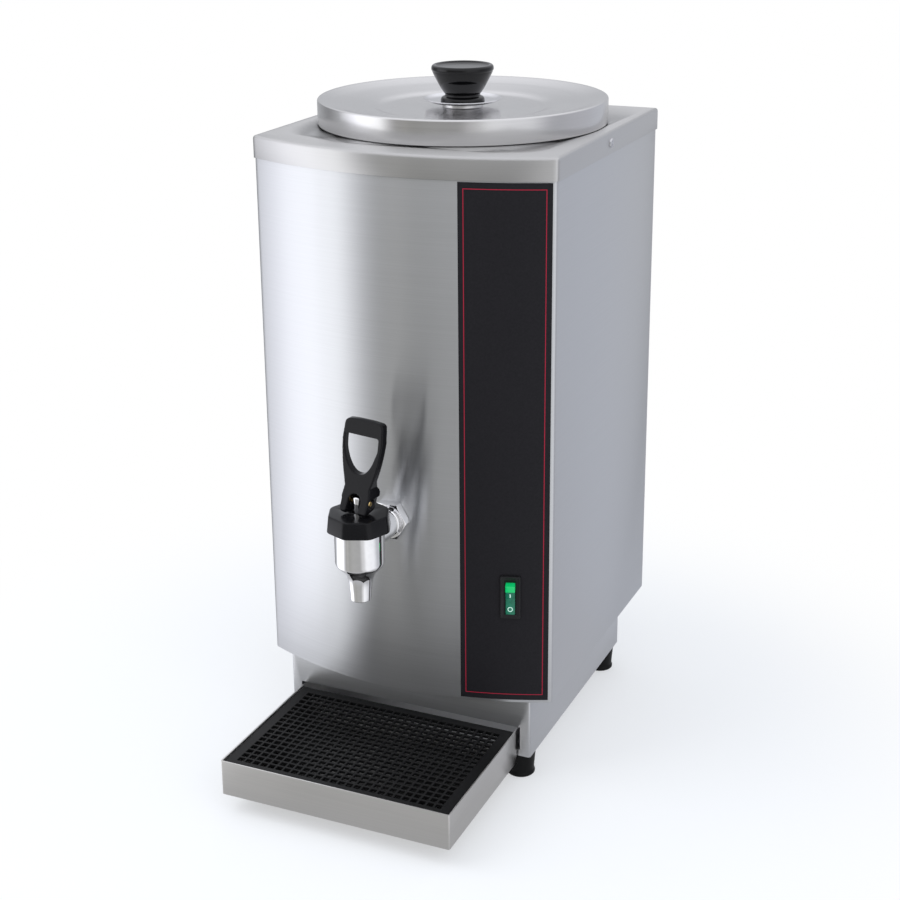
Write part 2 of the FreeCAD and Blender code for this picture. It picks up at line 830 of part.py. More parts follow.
def tap_bonnet():
    """Screw-on bonnet: a tapered skirt of eight gripping flats with soft corners and a bevelled top."""
    low, top = bonnet_bottom_z, bonnet_top_z
    skirt = Part.makeLoft([regular_wire(bonnet_radius, bonnet_side_count, low),
                           regular_wire(bonnet_top_radius, bonnet_side_count, top)], True, True)
    sides = [edge for edge in skirt.Edges if edge.BoundBox.ZLength > bonnet_height - 1]
    cap = skirt.makeFillet(bonnet_corner_radius, sides)
    rim = [edge for edge in cap.Edges if edge.BoundBox.ZMin > top - 0.01]
    cap = cap.makeChamfer(bonnet_edge_bevel, rim)
    cap.translate(V(0, tap_y, 0))
    cap = cap.cut(rod_z(tap_body_radius + thread_gap, low - 1, top - bonnet_top_thickness, 0, tap_y))
    return cap.cut(rod_z(stem_radius + lever_bonnet_gap, low, top + 1, 0, tap_y))


def swivelled(shape):
    """Turn a piece that was made square to the front about the tap's own axis, with the lever."""
    return turned(shape, V(0, tap_y, 0), V(0, 0, 1), lever_turn)


def tap_stem():
    top = pivot_z + stem_head_height
    low = seat_z + cup_height / 2
    stem = rod_z(stem_radius, low, top, 0, tap_y)
    stem = stem.cut(rod_x(pivot_pin_radius + running_gap / 2, -10, 10, tap_y, pivot_z))
    return swivelled(stem)


def tap_pivot_pin():
    half = lever_fork_width / 2 - pin_recess_depth / 2
    return swivelled(rod_x(pivot_pin_radius, -half, half, tap_y, pivot_z))


def tap_seat_cup():
    """Silicone closing cup: its foot rests on the seat and it grips the stem's end."""
    cup = rod_z(cup_radius, seat_z, seat_z + cup_height, 0, tap_y)
    return cup.cut(rod_z(stem_radius + running_gap / 2, seat_z + cup_height / 2, seat_z + cup_height + 1, 0, tap_y))


def tap_spring():
    """Closing spring between the bonnet and the cup, as the sleeve that its coils fill."""
    low = seat_z + cup_height + running_gap
    high = bonnet_top_z - bonnet_top_thickness - running_gap
    sleeve = rod_z(spring_radius + spring_wire / 2, low, high, 0, tap_y)
    return sleeve.cut(rod_z(spring_radius - spring_wire / 2, low - 1, high + 1, 0, tap_y))


def lever_front_outline():
    """The lever seen from the front, from its cam up to its arched top; z is measured from the pin."""
    half_top, half_waist, half_fork = lever_top_width / 2, lever_waist_width / 2, lever_fork_width / 2
    half_shoulder = lever_shoulder_width / 2
    low = -lever_cam_drop - lever_cam_radius - 1
    shoulder_z = loop_top - 3.5
    corner = lever_top_radius
    top = lever_height
    right = (half_top - corner, top - 0.8 - corner)
    left = (-half_top + corner, top - 0.8 - corner)
    flare = (half_waist + (half_shoulder - half_waist) * 0.72, (lever_waist_z + shoulder_z) / 2 + 1.0)
    return closed_wire([
        (-half_fork, low), (half_fork, low), (half_fork, lever_fork_top), (half_waist, lever_waist_z),
        ((flare[0], flare[1]), (half_shoulder, shoulder_z)), (half_top, right[1]),
        (arc_point(right, corner, 45), (right[0], top - 0.8)),
        ((0, top), (left[0], top - 0.8)),
        (arc_point(left, corner, 135), (-half_top, left[1])), (-half_shoulder, shoulder_z),
        ((-flare[0], flare[1]), (-half_waist, lever_waist_z)), (-half_fork, lever_fork_top)])


def leaned(depth, height):
    """A point of the grip's side view, leaning back from the pin."""
    lean = math.radians(lever_lean)
    return (depth * math.cos(lean) + height * math.sin(lean), height * math.cos(lean) - depth * math.sin(lean))


def lever_side_block():
    """The lever seen from the side: cam lobe, flat heel, shoulder behind and a slim grip that leans back."""
    wide = lever_shoulder_width + 2
    half = lever_thickness / 2
    sole = -lever_cam_drop - lever_cam_radius
    lobe = (-lever_cam_offset, -lever_cam_drop)
    top = lever_height / math.cos(math.radians(lever_lean))
    bevel = lever_top_bevel
    web_front, web_back = leaned(-half, lever_web_height), leaned(half, lever_web_height)
    lobe_front = (lobe[0] - lever_cam_radius, lobe[1])
    hollow = ((web_front[0] + lobe_front[0]) / 2 + lever_web_hollow, (web_front[1] + lobe_front[1]) / 2 + 0.5)
    side = closed_wire([
        (lobe[0], sole), (lever_heel_back, sole), (lever_shoulder_back, lever_shoulder_z),
        ((lever_shoulder_back + 0.2, lever_shoulder_z + 3.0), (lever_shoulder_back - 1.6, lever_shoulder_z + 5.4)),
        web_back, leaned(half, top - bevel), leaned(half - bevel, top), leaned(-half + bevel, top),
        leaned(-half, top - bevel), web_front, (hollow, lobe_front),
        (arc_point(lobe, lever_cam_radius, 225), (lobe[0], sole))])
    block = Part.Face(side).extrude(V(0, wide, 0))
    block.translate(V(0, -wide / 2, 0))
    return turned(block, V(0, 0, 0), V(0, 0, 1), 90)


def finger_loop():
    """D shaped finger loop: straight above, drawn down to a rounded tip."""
    half, c, tip = loop_width / 2, loop_corner_radius, loop_tip_radius
    side_z = loop_top - loop_side_height
    tip_centre = (0, loop_bottom + tip)
    lean = 24.0
    tip_right = arc_point(tip_centre, tip, -lean)
    tip_left = arc_point(tip_centre, tip, 180 + lean)
    bow_z = (side_z + tip_right[1]) / 2
    bow_x = (half + tip_right[0]) / 2 + loop_belly
    wire = closed_wire([
        tip_right, ((bow_x, bow_z), (half, side_z)), (half, loop_top - c),
        (arc_point((half - c, loop_top - c), c, 45), (half - c, loop_top)), (-half + c, loop_top),
        (arc_point((-half + c, loop_top - c), c, 135), (-half, loop_top - c)), (-half, side_z),
        ((-bow_x, bow_z), tip_left), ((0, loop_bottom), tip_right)])
    hole = Part.Face(wire).extrude(V(0, 2 * lever_depth, 0))
    hole.translate(V(0, -lever_depth, 0))
    return hole


def tap_lever():
    deep = 2 * lever_depth
    front = Part.Face(lever_front_outline()).extrude(V(0, deep, 0))
    front.translate(V(0, -lever_depth, 0))
    lever = lever_side_block().common(front)
    lever = lever.cut(finger_loop())
    half = lever_fork_gap / 2
    slot = box(-half, half, -lever_depth, lever_depth, -lever_height, lever_fork_depth - half)
    slot = slot.fuse(rod_y(half, -lever_depth, lever_depth, 0, lever_fork_depth - half))
    lever = lever.cut(slot)
    lever = lever.cut(rod_x(pivot_pin_radius + running_gap, -lever_top_width, lever_top_width, 0, 0))
    outer = lever_fork_width / 2
    for side in (-1, 1):
        x0, x1 = sorted((side * (outer - pin_recess_depth), side * (outer + 1)))
        lever = lever.cut(rod_x(pin_recess_radius, x0, x1, 0, 0))
    lever.translate(V(0, tap_y, pivot_z))
    return swivelled(lever)


# Lid, knob and their washer

def lid_wire():
    """Half section of the lid: raised boss, flat disc, slope up to the rim and skirt."""
    t = lid_sheet
    bottom = lid_rim_z - lid_skirt
    slope = math.atan2(lid_dish, lid_radius - lid_disc_radius)
    shift = t * math.tan(slope / 2)
    inner_r = lid_radius - t
    inner_z = lid_rim_z - t / math.cos(slope) - t * math.tan(slope)
    boss_top = lid_disc_z + boss_height
    return closed_wire([
        (0, boss_top - t), (boss_radius - t, boss_top - t), (boss_radius - t, lid_disc_z - t),
        (lid_disc_radius + shift, lid_disc_z - t), (inner_r, inner_z),
        (inner_r, bottom), (lid_radius, bottom), (lid_radius, lid_rim_z),
        (lid_disc_radius, lid_disc_z), (boss_radius, lid_disc_z), (boss_radius, boss_top), (0, boss_top)])


def lid():
    return revolved(lid_wire(), 0, container_y)


def washer_z():
    return lid_disc_z + boss_height


def knob_washer():
    """Chrome cup washer: a flat disc with a turned-up rim."""
    t = washer_sheet
    z = washer_z()
    disc = rod_z(washer_radius, z, z + washer_rise, 0, container_y)
    return disc.cut(rod_z(washer_radius - t, z + t, z + washer_rise + 1, 0, container_y))


def lid_knob():
    """Knob with a foot, a groove, a flared neck and a broad rim round its dished top."""
    z = washer_z() + washer_sheet
    foot_top = z + knob_base_height
    groove_top = foot_top + knob_groove_height
    top = z + knob_height
    r = knob_radius
    dish_r = r - knob_rim_width
    return revolved(closed_wire([
        (0, z), (knob_base_radius, z), (knob_base_radius, foot_top), (knob_groove_radius, foot_top),
        (knob_groove_radius, groove_top), (knob_neck_radius, groove_top), (r, top - knob_rim_height), (r, top),
        (dish_r, top), (dish_r, top - knob_dish), (0, top - knob_dish)]), 0, container_y)


# Fasteners of the casing

def cover_screws():
    screw = pan_screw(screw_radius, screw_head_radius, screw_head_height, screw_length)
    return Part.makeCompound([aimed(screw, point, direction) for point, direction in cover_screw_points()])


# Cable inlet and the parts inside the foot of the casing

def cable_gland():
    """Screwed gland in the plinth's rear wall, with a round cap that grips the cord."""
    inner = rod_z(gland_radius, -plinth_sheet - gland_inner_length, 0)
    head = hexagon(gland_hex_flats, gland_hex_height)
    cap = rod_z(gland_cap_radius, gland_hex_height, gland_hex_height + gland_cap_length)
    gland = inner.fuse([head, cap]).removeSplitter()
    tip = gland_hex_height + gland_cap_length
    gland = gland.cut(rod_z(gland_bore_radius, -plinth_sheet - gland_inner_length - 1, tip + 1))
    return aimed(gland, (0, plinth_rear_y, body_bottom_z - gland_height), (0, 1, 0))


def gland_nut():
    nut = hex_nut(gland_hex_flats, gland_hex_height - 1, gland_radius + running_gap)
    return aimed(nut, (0, plinth_rear_y - plinth_sheet, body_bottom_z - gland_height), (0, -1, 0))


def floor_z():
    return body_bottom_z + body_sheet + bottom_sheet


def block_y():
    return body_rear_y - body_sheet - rear_flange - block_rear_gap


def terminal_block():
    z = floor_z()
    y = block_y()
    half = block_length / 2
    block = box(-half, half, y - block_width / 2, y + block_width / 2, z, z + block_height)
    pitch = block_length / block_poles
    hole = block_hole / 2
    for i in range(block_poles):
        x = -half + (i + 0.5) * pitch
        block = block.cut(box(x - hole, x + hole, y - hole, y + hole, z + block_height / 2, z + block_height + 1))
        block = block.cut(box(x - hole, x + hole, y - block_width, y + block_width, z + hole, z + 3 * hole))
    return block


def thermostat():
    """Box thermostat fixed under the deck beside the heating plate's middle."""
    x = thermostat_offset
    half = thermostat_width / 2
    low = deck_under_z - thermostat_height
    case = box(x - half, x + half, container_y - half, container_y + half, low, deck_under_z)
    wide = terminal_width / 2
    tabs = [box(x + dx, x + dx + terminal_thickness, container_y - wide, container_y + wide, low - terminal_length, low)
            for dx in (-thermostat_tab_pitch / 2, thermostat_tab_pitch / 2 - terminal_thickness)]
    return case.fuse(tabs).removeSplitter()


# All the nodes, in the order in which the machine goes together

nodes = {
    "plinth": plinth(),
    "tray_runners": tray_runners(),
    "rubber_feet": rubber_feet(),
    "cable_gland": cable_gland(),
    "gland_nut": gland_nut(),
    "body_shell": body_shell(),
    "bottom_plate": bottom_plate(),
    "terminal_block": terminal_block(),
    "support_deck": support_deck(),
    "heater_plate": heater_plate(),
    "thermostat": thermostat(),
    "insulation_boards": insulation_boards(),
    "outlet_block": outlet_block(),
    "rear_panel": rear_panel(),
    "top_cover": top_cover(),
    "cover_screws": cover_screws(),
    "control_panel_overlay": control_panel_overlay(),
    "switch_housing": switch_housing(),
    "switch_terminals": switch_terminals(),
    "switch_rocker": switch_rocker(),
    "tap_body": tap_body(),
    "tap_lock_nut": tap_lock_nut(),
    "tap_inner_nut": tap_inner_nut(),
    "tap_bonnet": tap_bonnet(),
    "tap_spring": tap_spring(),
    "tap_seat_cup": tap_seat_cup(),
    "tap_stem": tap_stem(),
    "tap_pivot_pin": tap_pivot_pin(),
    "tap_lever": tap_lever(),
    "milk_container": milk_container(),
    "lid": lid(),
    "knob_washer": knob_washer(),
    "lid_knob": lid_knob(),
    "drip_tray": drip_tray(),
    "drip_grid": drip_grid(),
}

for name, shape in nodes.items():
    shape.exportStep(f"parts/{name}.step")
    print(name, "solids", len(shape.Solids), "valid", shape.isValid(), "volume", round(shape.Volume, 1))
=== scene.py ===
# %% Load the solids of the milk dispenser
import json
from math import asin, atan2, cos, degrees, pi, radians, sin, sqrt, tan

import bpy
from mathutils import Matrix, Vector


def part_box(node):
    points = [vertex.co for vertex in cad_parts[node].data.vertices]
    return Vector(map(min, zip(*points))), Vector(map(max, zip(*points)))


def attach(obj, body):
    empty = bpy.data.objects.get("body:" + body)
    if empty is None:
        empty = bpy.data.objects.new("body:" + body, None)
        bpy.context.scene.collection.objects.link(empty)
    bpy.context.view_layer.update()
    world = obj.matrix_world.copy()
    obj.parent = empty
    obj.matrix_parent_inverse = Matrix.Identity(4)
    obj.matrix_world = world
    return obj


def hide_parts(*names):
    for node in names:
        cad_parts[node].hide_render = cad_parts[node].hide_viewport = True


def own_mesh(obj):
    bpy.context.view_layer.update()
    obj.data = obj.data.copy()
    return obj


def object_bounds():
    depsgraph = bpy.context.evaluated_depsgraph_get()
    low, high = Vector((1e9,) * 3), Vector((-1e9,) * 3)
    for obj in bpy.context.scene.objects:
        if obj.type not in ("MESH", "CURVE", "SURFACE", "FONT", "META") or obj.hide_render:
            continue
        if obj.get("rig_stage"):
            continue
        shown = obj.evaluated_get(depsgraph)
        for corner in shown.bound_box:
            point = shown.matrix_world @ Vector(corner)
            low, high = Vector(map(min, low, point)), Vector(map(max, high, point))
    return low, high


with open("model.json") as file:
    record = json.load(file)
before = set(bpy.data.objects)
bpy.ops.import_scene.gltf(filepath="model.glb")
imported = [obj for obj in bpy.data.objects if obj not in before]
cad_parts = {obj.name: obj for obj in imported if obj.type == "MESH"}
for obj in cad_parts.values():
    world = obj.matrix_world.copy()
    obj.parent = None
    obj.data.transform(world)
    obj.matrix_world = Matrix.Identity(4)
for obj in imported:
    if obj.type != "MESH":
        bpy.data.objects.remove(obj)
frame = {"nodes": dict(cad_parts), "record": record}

nodes = frame["nodes"]
solid_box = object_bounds()
print("solids loaded:", len(nodes), "nodes")

# %% [markdown]
# # A milk dispenser, dressed
# The machine is a folded steel box with a bowed front. A round milk container hangs in its top under
# a spun lid, a chrome lever tap stands out of the front, and a drip tray with a black grid lies below.
# The solids give every place and size. This lesson adds what the eye sees: rounded folds, brushed and
# spun steel, chrome, moulded plastic, the green switch and the soft light of a product photograph.
# Lengths here are in millimetres, because the maker's drawings are, and MM turns them into metres.

# %% Sizes shared by several pieces
MM = 0.001


def span(node):
    """The lowest and highest corner of a solid, in millimetres."""
    low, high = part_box(node)
    return low / MM, high / MM


cover_low, cover_high = span("top_cover")
body_low, body_high = span("body_shell")
plinth_low, plinth_high = span("plinth")
tray_low, tray_high = span("drip_tray")
grid_low, grid_high = span("drip_grid")
lid_low, lid_high = span("lid")
label_low, label_high = span("control_panel_overlay")
axis_y = (lid_low.y + lid_high.y) / 2
tap_low, tap_high = span("tap_bonnet")
tap_y = (tap_low.y + tap_high.y) / 2
tap_z = 212.0
NEAR = 0.01  # places closer than this count as the same
print("container axis at y", round(axis_y, 2), "tap axis at y", round(tap_y, 2))

# %% [markdown]
# ## A maker's bench of small tools
# Most pieces start as a primitive and are shaped in edit mode with the same few moves: extrude, inset,
# bevel and spin. An operator works on whatever is selected, so each tool first clears the
# selection and then picks faces or edges by their place. Picking by place survives a change of size,
# which picking by index would not.

# %% Select, enter and leave
def rest():
    """Leave edit mode and select nothing."""
    if bpy.context.object and bpy.context.object.mode != "OBJECT":
        bpy.ops.object.mode_set(mode="OBJECT")
    bpy.ops.object.select_all(action="DESELECT")


def take(piece):
    rest()
    piece.select_set(True)
    bpy.context.view_layer.objects.active = piece


def edit(piece):
    """Enter edit mode with the whole mesh selected."""
    take(piece)
    bpy.ops.object.mode_set(mode="EDIT")
    bpy.ops.mesh.select_mode(type="VERT")
    bpy.ops.mesh.select_all(action="SELECT")


def pick(piece, kind, test):
    """Enter edit mode with the faces, edges or points whose place passes the test."""
    take(piece)
    bpy.ops.object.mode_set(mode="EDIT")
    bpy.ops.mesh.select_mode(type=kind)
    bpy.ops.mesh.select_all(action="DESELECT")
    bpy.ops.object.mode_set(mode="OBJECT")
    mesh = piece.data
    if kind == "FACE":
        for face in mesh.polygons:
            face.select = bool(test(face.center / MM, face.normal))
    elif kind == "EDGE":
        for edge in mesh.edges:
            a, b = (mesh.vertices[i].co / MM for i in edge.vertices)
            edge.select = bool(test((a + b) / 2, (b - a).normalized()))
    else:
        for point in mesh.vertices:
            point.select = bool(test(point.co / MM, point.normal))
    bpy.ops.object.mode_set(mode="EDIT")


def bake(piece):
    """Put the piece's place, turn and scale into its mesh."""
    take(piece)
    bpy.ops.object.transform_apply(location=True, rotation=True, scale=True)


def stand(piece, at=(0, 0, 0), turn=(0, 0, 0)):
    """Turn a piece about the origin, move it to a place, and bake both."""
    piece.rotation_euler = [radians(a) for a in turn]
    piece.location = Vector(at) * MM
    bake(piece)
    return piece


def named(name):
    """Name the object just added, and bake it."""
    piece = bpy.context.object
    piece.name = name
    bake(piece)
    return piece

# %% Start a piece: a block, a line of edges, a turned form
def block(name, low, high):
    """A box between two corners."""
    rest()
    low, high = Vector(low), Vector(high)
    bpy.ops.mesh.primitive_cube_add(size=1, location=(low + high) / 2 * MM, scale=(high - low) * MM)
    return named(name)


def dot(name, place):
    """One point: a tiny plane merged into its middle."""
    rest()
    bpy.ops.mesh.primitive_plane_add(size=MM, location=Vector(place) * MM)
    piece = named(name)
    edit(piece)
    bpy.ops.mesh.merge(type="CENTER")
    return piece


def draw_on(places):
    """Extrude the selected end point from place to place, as a pencil draws a line."""
    here = places[0]
    for place in places[1:]:
        move = (Vector(place) - Vector(here)) * MM
        bpy.ops.mesh.extrude_vertices_move(TRANSFORM_OT_translate={"value": move})
        here = place


def raise_all(piece, move):
    """Extrude all of the piece by a move."""
    edit(piece)
    bpy.ops.mesh.extrude_region_move(TRANSFORM_OT_translate={"value": Vector(move) * MM})


def tidy(piece, gap=0.004):
    """Merge doubled points and turn every face outwards."""
    edit(piece)
    bpy.ops.mesh.remove_doubles(threshold=gap * MM)
    bpy.ops.mesh.normals_make_consistent(inside=False)
    rest()


POLE = 0.01  # the radius of a ring that tidy merges into one point on the axis
UP, FRONT, BACK, RIGHT = (0, 0, 0), (90, 0, 0), (-90, 0, 0), (0, 90, 0)


def turned(name, profile, at=(0, 0, 0), turn=UP, sides=96):
    """Turn a profile of (radius, height) rings on a lathe, then set its foot at a place."""
    rest()
    radius, height = profile[0]
    bpy.ops.mesh.primitive_circle_add(vertices=sides, radius=radius * MM, location=(0, 0, height * MM))
    piece = named(name)
    edit(piece)
    for (r_0, z_0), (r_1, z_1) in zip(profile, profile[1:]):
        bpy.ops.mesh.extrude_region_move(TRANSFORM_OT_translate={"value": (0, 0, (z_1 - z_0) * MM)})
        if r_1 != r_0:
            bpy.ops.transform.resize(value=(r_1 / r_0, r_1 / r_0, 1), center_override=(0, 0, z_1 * MM))
    tidy(piece, 3 * POLE)
    return stand(piece, at, turn)


def drill(radius, low, high, at=(0, 0, 0), turn=UP, sides=48):
    """A round tool from one height to another."""
    return turned("drill", [(POLE, low), (radius, low), (radius, high), (POLE, high)], at, turn, sides)


def prism(name, sides, radius, height, at=(0, 0, 0)):
    """A many-sided face raised into a prism. It stays in edit mode with its top selected."""
    rest()
    bpy.ops.mesh.primitive_circle_add(
        vertices=sides, radius=radius * MM, fill_type="NGON", location=Vector(at) * MM)
    piece = named(name)
    raise_all(piece, (0, 0, height))
    return piece

# %% Shape what is picked
def upright(way):
    return abs(way.z) > 0.9


def round_off(piece, test, width, segments=4, profile=0.5):
    """Round the edges that pass the test, in edit mode."""
    pick(piece, "EDGE", test)
    bpy.ops.mesh.bevel(offset=width * MM, segments=segments, profile=profile)


def fill_line(piece):
    """Close the piece's line of edges with a face."""
    edit(piece)
    bpy.ops.mesh.edge_face_add()


def open_up(piece, test, border=0.0):
    """Delete the faces that pass the test, but for a border round them."""
    pick(piece, "FACE", test)
    if border:
        bpy.ops.mesh.inset(thickness=border * MM)
    bpy.ops.mesh.delete(type="FACE")

# %% Finish a piece: modifiers, cuts, joins and its place in the machine
def shape_with(piece, kind, **settings):
    """Add a modifier and apply it."""
    take(piece)
    modifier = piece.modifiers.new(kind.title(), kind)
    for name, value in settings.items():
        setattr(modifier, name, value)
    bpy.ops.object.modifier_apply(modifier=modifier.name)


def thicken(piece, sheet):
    """Give an open skin the thickness of its sheet, on its inner side."""
    shape_with(piece, "SOLIDIFY", thickness=sheet * MM, offset=-1.0, use_even_offset=True)


def soften(piece, width, segments=2, angle=38):
    """Round the sharp edges."""
    shape_with(piece, "BEVEL", width=width * MM, segments=segments, limit_method="ANGLE",
               angle_limit=radians(angle), harden_normals=False, use_clamp_overlap=True)


def carve(piece, tool, how="DIFFERENCE"):
    """Cut a piece with a tool, and take the tool away."""
    shape_with(piece, "BOOLEAN", operation=how, object=tool, solver="EXACT")
    rest()
    bpy.data.objects.remove(tool)


def joined(name, parts):
    take(parts[0])
    for part in parts[1:]:
        part.select_set(True)
    bpy.context.view_layer.objects.active = parts[0]
    bpy.ops.object.join()
    parts[0].name = name
    return parts[0]


def twin(piece, name, move=(0, 0, 0), scale=(1, 1, 1)):
    """A copy with its own mesh, moved or mirrored."""
    take(piece)
    bpy.ops.object.duplicate()
    copy = bpy.context.object
    copy.name = name
    copy.scale = scale
    return stand(copy, move)


def at_corners(piece, across, along):
    """The piece, and copies of it at the other three corners of a rectangle."""
    moves = ((across, 0, 0), (0, along, 0), (across, along, 0))
    return [piece] + [twin(piece, piece.name, move) for move in moves]


finished = []


def finish(piece, body, replaced, slot, angle=35):
    """Shade the piece, hang it on its body's empty, hide the solid it stands for, and note its slot."""
    take(piece)
    bpy.ops.object.shade_smooth_by_angle(angle=radians(angle))
    rest()
    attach(piece, body)
    if replaced:
        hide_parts(*([replaced] if isinstance(replaced, str) else replaced))
    finished.append((piece, slot))
    size = [round(v / MM, 1) for v in piece.dimensions]
    print(piece.name, "faces", len(piece.data.polygons), "size", size)

# %% [markdown]
# ## The bowed front
# The casing, its cover and the label share one bow. On the real machine the sheet is rolled to a large
# radius between the two side folds. A point spun about the far centre of that radius draws the bow
# exactly, with as many steps as a smooth reflection needs, and then the line is drawn on round the back.

# %% Draw along the bow
corner_y = -47.0
front_bulge = 27.0
cover_half = 120.0
bow_radius = (cover_half ** 2 + front_bulge ** 2) / (2 * front_bulge)
bow_y = corner_y - front_bulge + bow_radius


def bow_at(x, inset):
    """The y of the bow, drawn in by an inset, at an x."""
    return bow_y - sqrt((bow_radius - inset) ** 2 - x * x)


def bow_line(name, inset, x_0, x_1, z, steps):
    """A line of edges along the bow, made by spinning one point. Its last point stays selected."""
    piece = dot(name, (x_0, bow_at(x_0, inset), z))
    radius = bow_radius - inset
    swing = asin(x_0 / radius) - asin(x_1 / radius)
    bpy.ops.mesh.spin(steps=steps, angle=swing, center=(0, bow_y * MM, z * MM), axis=(0, 0, 1))
    end = Vector((x_1, bow_at(x_1, inset), z))
    pick(piece, "VERT", lambda at, normal: (at - end).length < 0.05)
    return piece


def casing_form(name, inset, low, high):
    """A form raised on the casing's plan: the bow, two sides and the back."""
    half = cover_half - inset
    front_y = bow_at(half, inset)
    piece = bow_line(name, inset, -half, half, low.z, 56)
    draw_on([(x, y, low.z) for x, y in (
        (half, front_y), (half, high.y), (-half, high.y), (-half, front_y))])
    edit(piece)
    bpy.ops.mesh.remove_doubles(threshold=0.02 * MM)
    bpy.ops.mesh.edge_face_add()
    raise_all(piece, (0, 0, high.z - low.z))
    tidy(piece)
    return piece


print("bow radius", round(bow_radius, 1), "centre y", round(bow_y, 1))

# %% [markdown]
# ## The casing's body
# One sheet is folded into a tall box, with a narrow return along the top, the foot and the back. The
# plan is raised to the body's height, the three open faces are inset by the width of their return and
# their middles deleted, and Solidify gives the sheet. The foot's fold catches the light as a thin line.

# %% Fold the body
sheet = 1.0
body_inset = cover_half - body_high.x
body = casing_form("casing_body", body_inset, body_low, body_high)
front_corner_y = bow_at(body_high.x, body_inset)
for facing, fold in (((0, 0, 1), 8), ((0, 0, -1), 8), ((0, 1, 0), 14)):
    open_up(body, lambda at, normal: normal.dot(Vector(facing)) > 0.99, fold)
round_off(body, lambda at, way: upright(way) and abs(at.x) > body_high.x - 1
          and at.y < front_corner_y + 1, 1.9)
thicken(body, sheet)
soften(body, 0.45, 3)
finish(body, "casing", "body_shell", "casing_steel", 30)

# %% [markdown]
# ## The cover
# The cover is a shallow pressed cap that slips over the body. Its upper edge is rounded where the sheet
# is folded, and a round mouth takes the container. The rounding is a bevel on the upper edges in edit
# mode, because it belongs to the form and has to be larger than the general softening.

# %% Press the cover
cover_sheet, mouth_radius = 0.8, 102.0
cover = casing_form("casing_cover", 0.0, cover_low, cover_high)
round_off(cover, lambda at, way: upright(way) and abs(at.x) > cover_half - 1 and (
    at.y < corner_y + 1 or at.y > cover_high.y - 1), 2.2, 5)
round_off(cover, lambda at, way: at.z > cover_high.z - NEAR, 2.4, 5)
open_up(cover, lambda at, normal: normal.z < -0.99)
thicken(cover, cover_sheet)
carve(cover, drill(mouth_radius, -6, 6, (0, axis_y, cover_high.z), sides=128))
soften(cover, 0.25, 2, 60)
finish(cover, "casing", "top_cover", "cover_steel", 30)

# %% [markdown]
# ## The plinth and its feet
# The plinth is a smaller folded box, open above and below, with a wide mouth in front for the tray's
# tongue. The gap at the tray's side shows as a narrow dark slot. The four feet are turned rubber cones
# with a soft lip round the sole: one is turned, and the others are copies.

# %% Fold the plinth
gland_z, gland_hole = 43.0, 8.2
slot_low, slot_high = 25.7, 45.0
slot_half = tray_high.x + 1.9
plinth = block("casing_plinth", plinth_low, plinth_high)
for facing, fold in ((1, 15), (-1, 28)):
    open_up(plinth, lambda at, normal: normal.z * facing > 0.99, fold)
round_off(plinth, lambda at, way: upright(way), 2.0)
thicken(plinth, sheet)
carve(plinth, block(
    "slot_tool", (-slot_half, plinth_low.y - 2, slot_low), (slot_half, plinth_low.y + 3, slot_high)))
carve(plinth, drill(gland_hole, -4, 4, (0, plinth_high.y, gland_z), BACK))
soften(plinth, 0.3, 2)
finish(plinth, "casing", "plinth", "casing_steel", 30)

# %% Turn the feet
foot_x, foot_front, foot_back = 90.8, -37.8, 148.8
foot_profile = [
    (POLE, 0), (9.4, 0), (10.3, 0.25), (10.9, 0.9), (11.05, 1.9), (10.8, 2.9), (10.35, 3.6), (10.3, 4.6),
    (10.5, 8), (11.6, 20.5), (POLE, 20.5)]
foot = turned("foot", foot_profile, (-foot_x, foot_front, 0), sides=64)
feet = joined("feet_turned", at_corners(foot, 2 * foot_x, foot_back - foot_front))
finish(feet, "casing", "rubber_feet", "foot_rubber", 50)

# %% [markdown]
# ## The drip tray
# The tray is one folded sheet: a deep well in front and a shallow tongue that runs into the plinth. Its
# side view is drawn as a line, raised across the tray's width, and closed at both sides. That leaves
# the top open and keeps the step between well and tongue in one piece.

# %% Fold the tray
tray_half = tray_high.x
well_back, tongue_low = -52.0, 26.0
side_view = [(-tray_half, y, z) for y, z in (
    (tray_low.y, tray_high.z), (tray_low.y, tray_low.z), (well_back, tray_low.z),
    (well_back, tongue_low), (tray_high.y, tongue_low), (tray_high.y, tray_high.z))]
tray = dot("tray_folded", side_view[0])
draw_on(side_view)
raise_all(tray, (2 * tray_half, 0, 0))
for side in (-tray_half, tray_half):
    for lowest in (tray_high.z, tray_low.z):
        pick(tray, "VERT", lambda at, normal: abs(at.x - side) < NEAR and at.z > lowest - NEAR)
        bpy.ops.mesh.edge_face_add()
tidy(tray)
round_off(tray, lambda at, way: upright(way) and abs(at.x) > tray_half - NEAR
          and at.y < tray_low.y + NEAR, 1.2)
round_off(tray, lambda at, way: at.z < tray_low.z + NEAR and at.y < tray_low.y + NEAR, 0.8, 3)
thicken(tray, sheet)
soften(tray, 0.22, 2, 60)
finish(tray, "tray", "drip_tray", "tray_steel", 30)

# %% [markdown]
# ## The grid
# The grid is a black moulding with twenty-six columns and eighteen rows of small square holes. Drawing
# each hole would be slow, so a grid primitive gets one cell a hole and one more all round. The outer
# points are moved to the border's edge, each inner cell is inset by half a rib and its middle deleted.
# Solidify gives the plate, and a fine bevel rounds the ribs so that they catch the light.

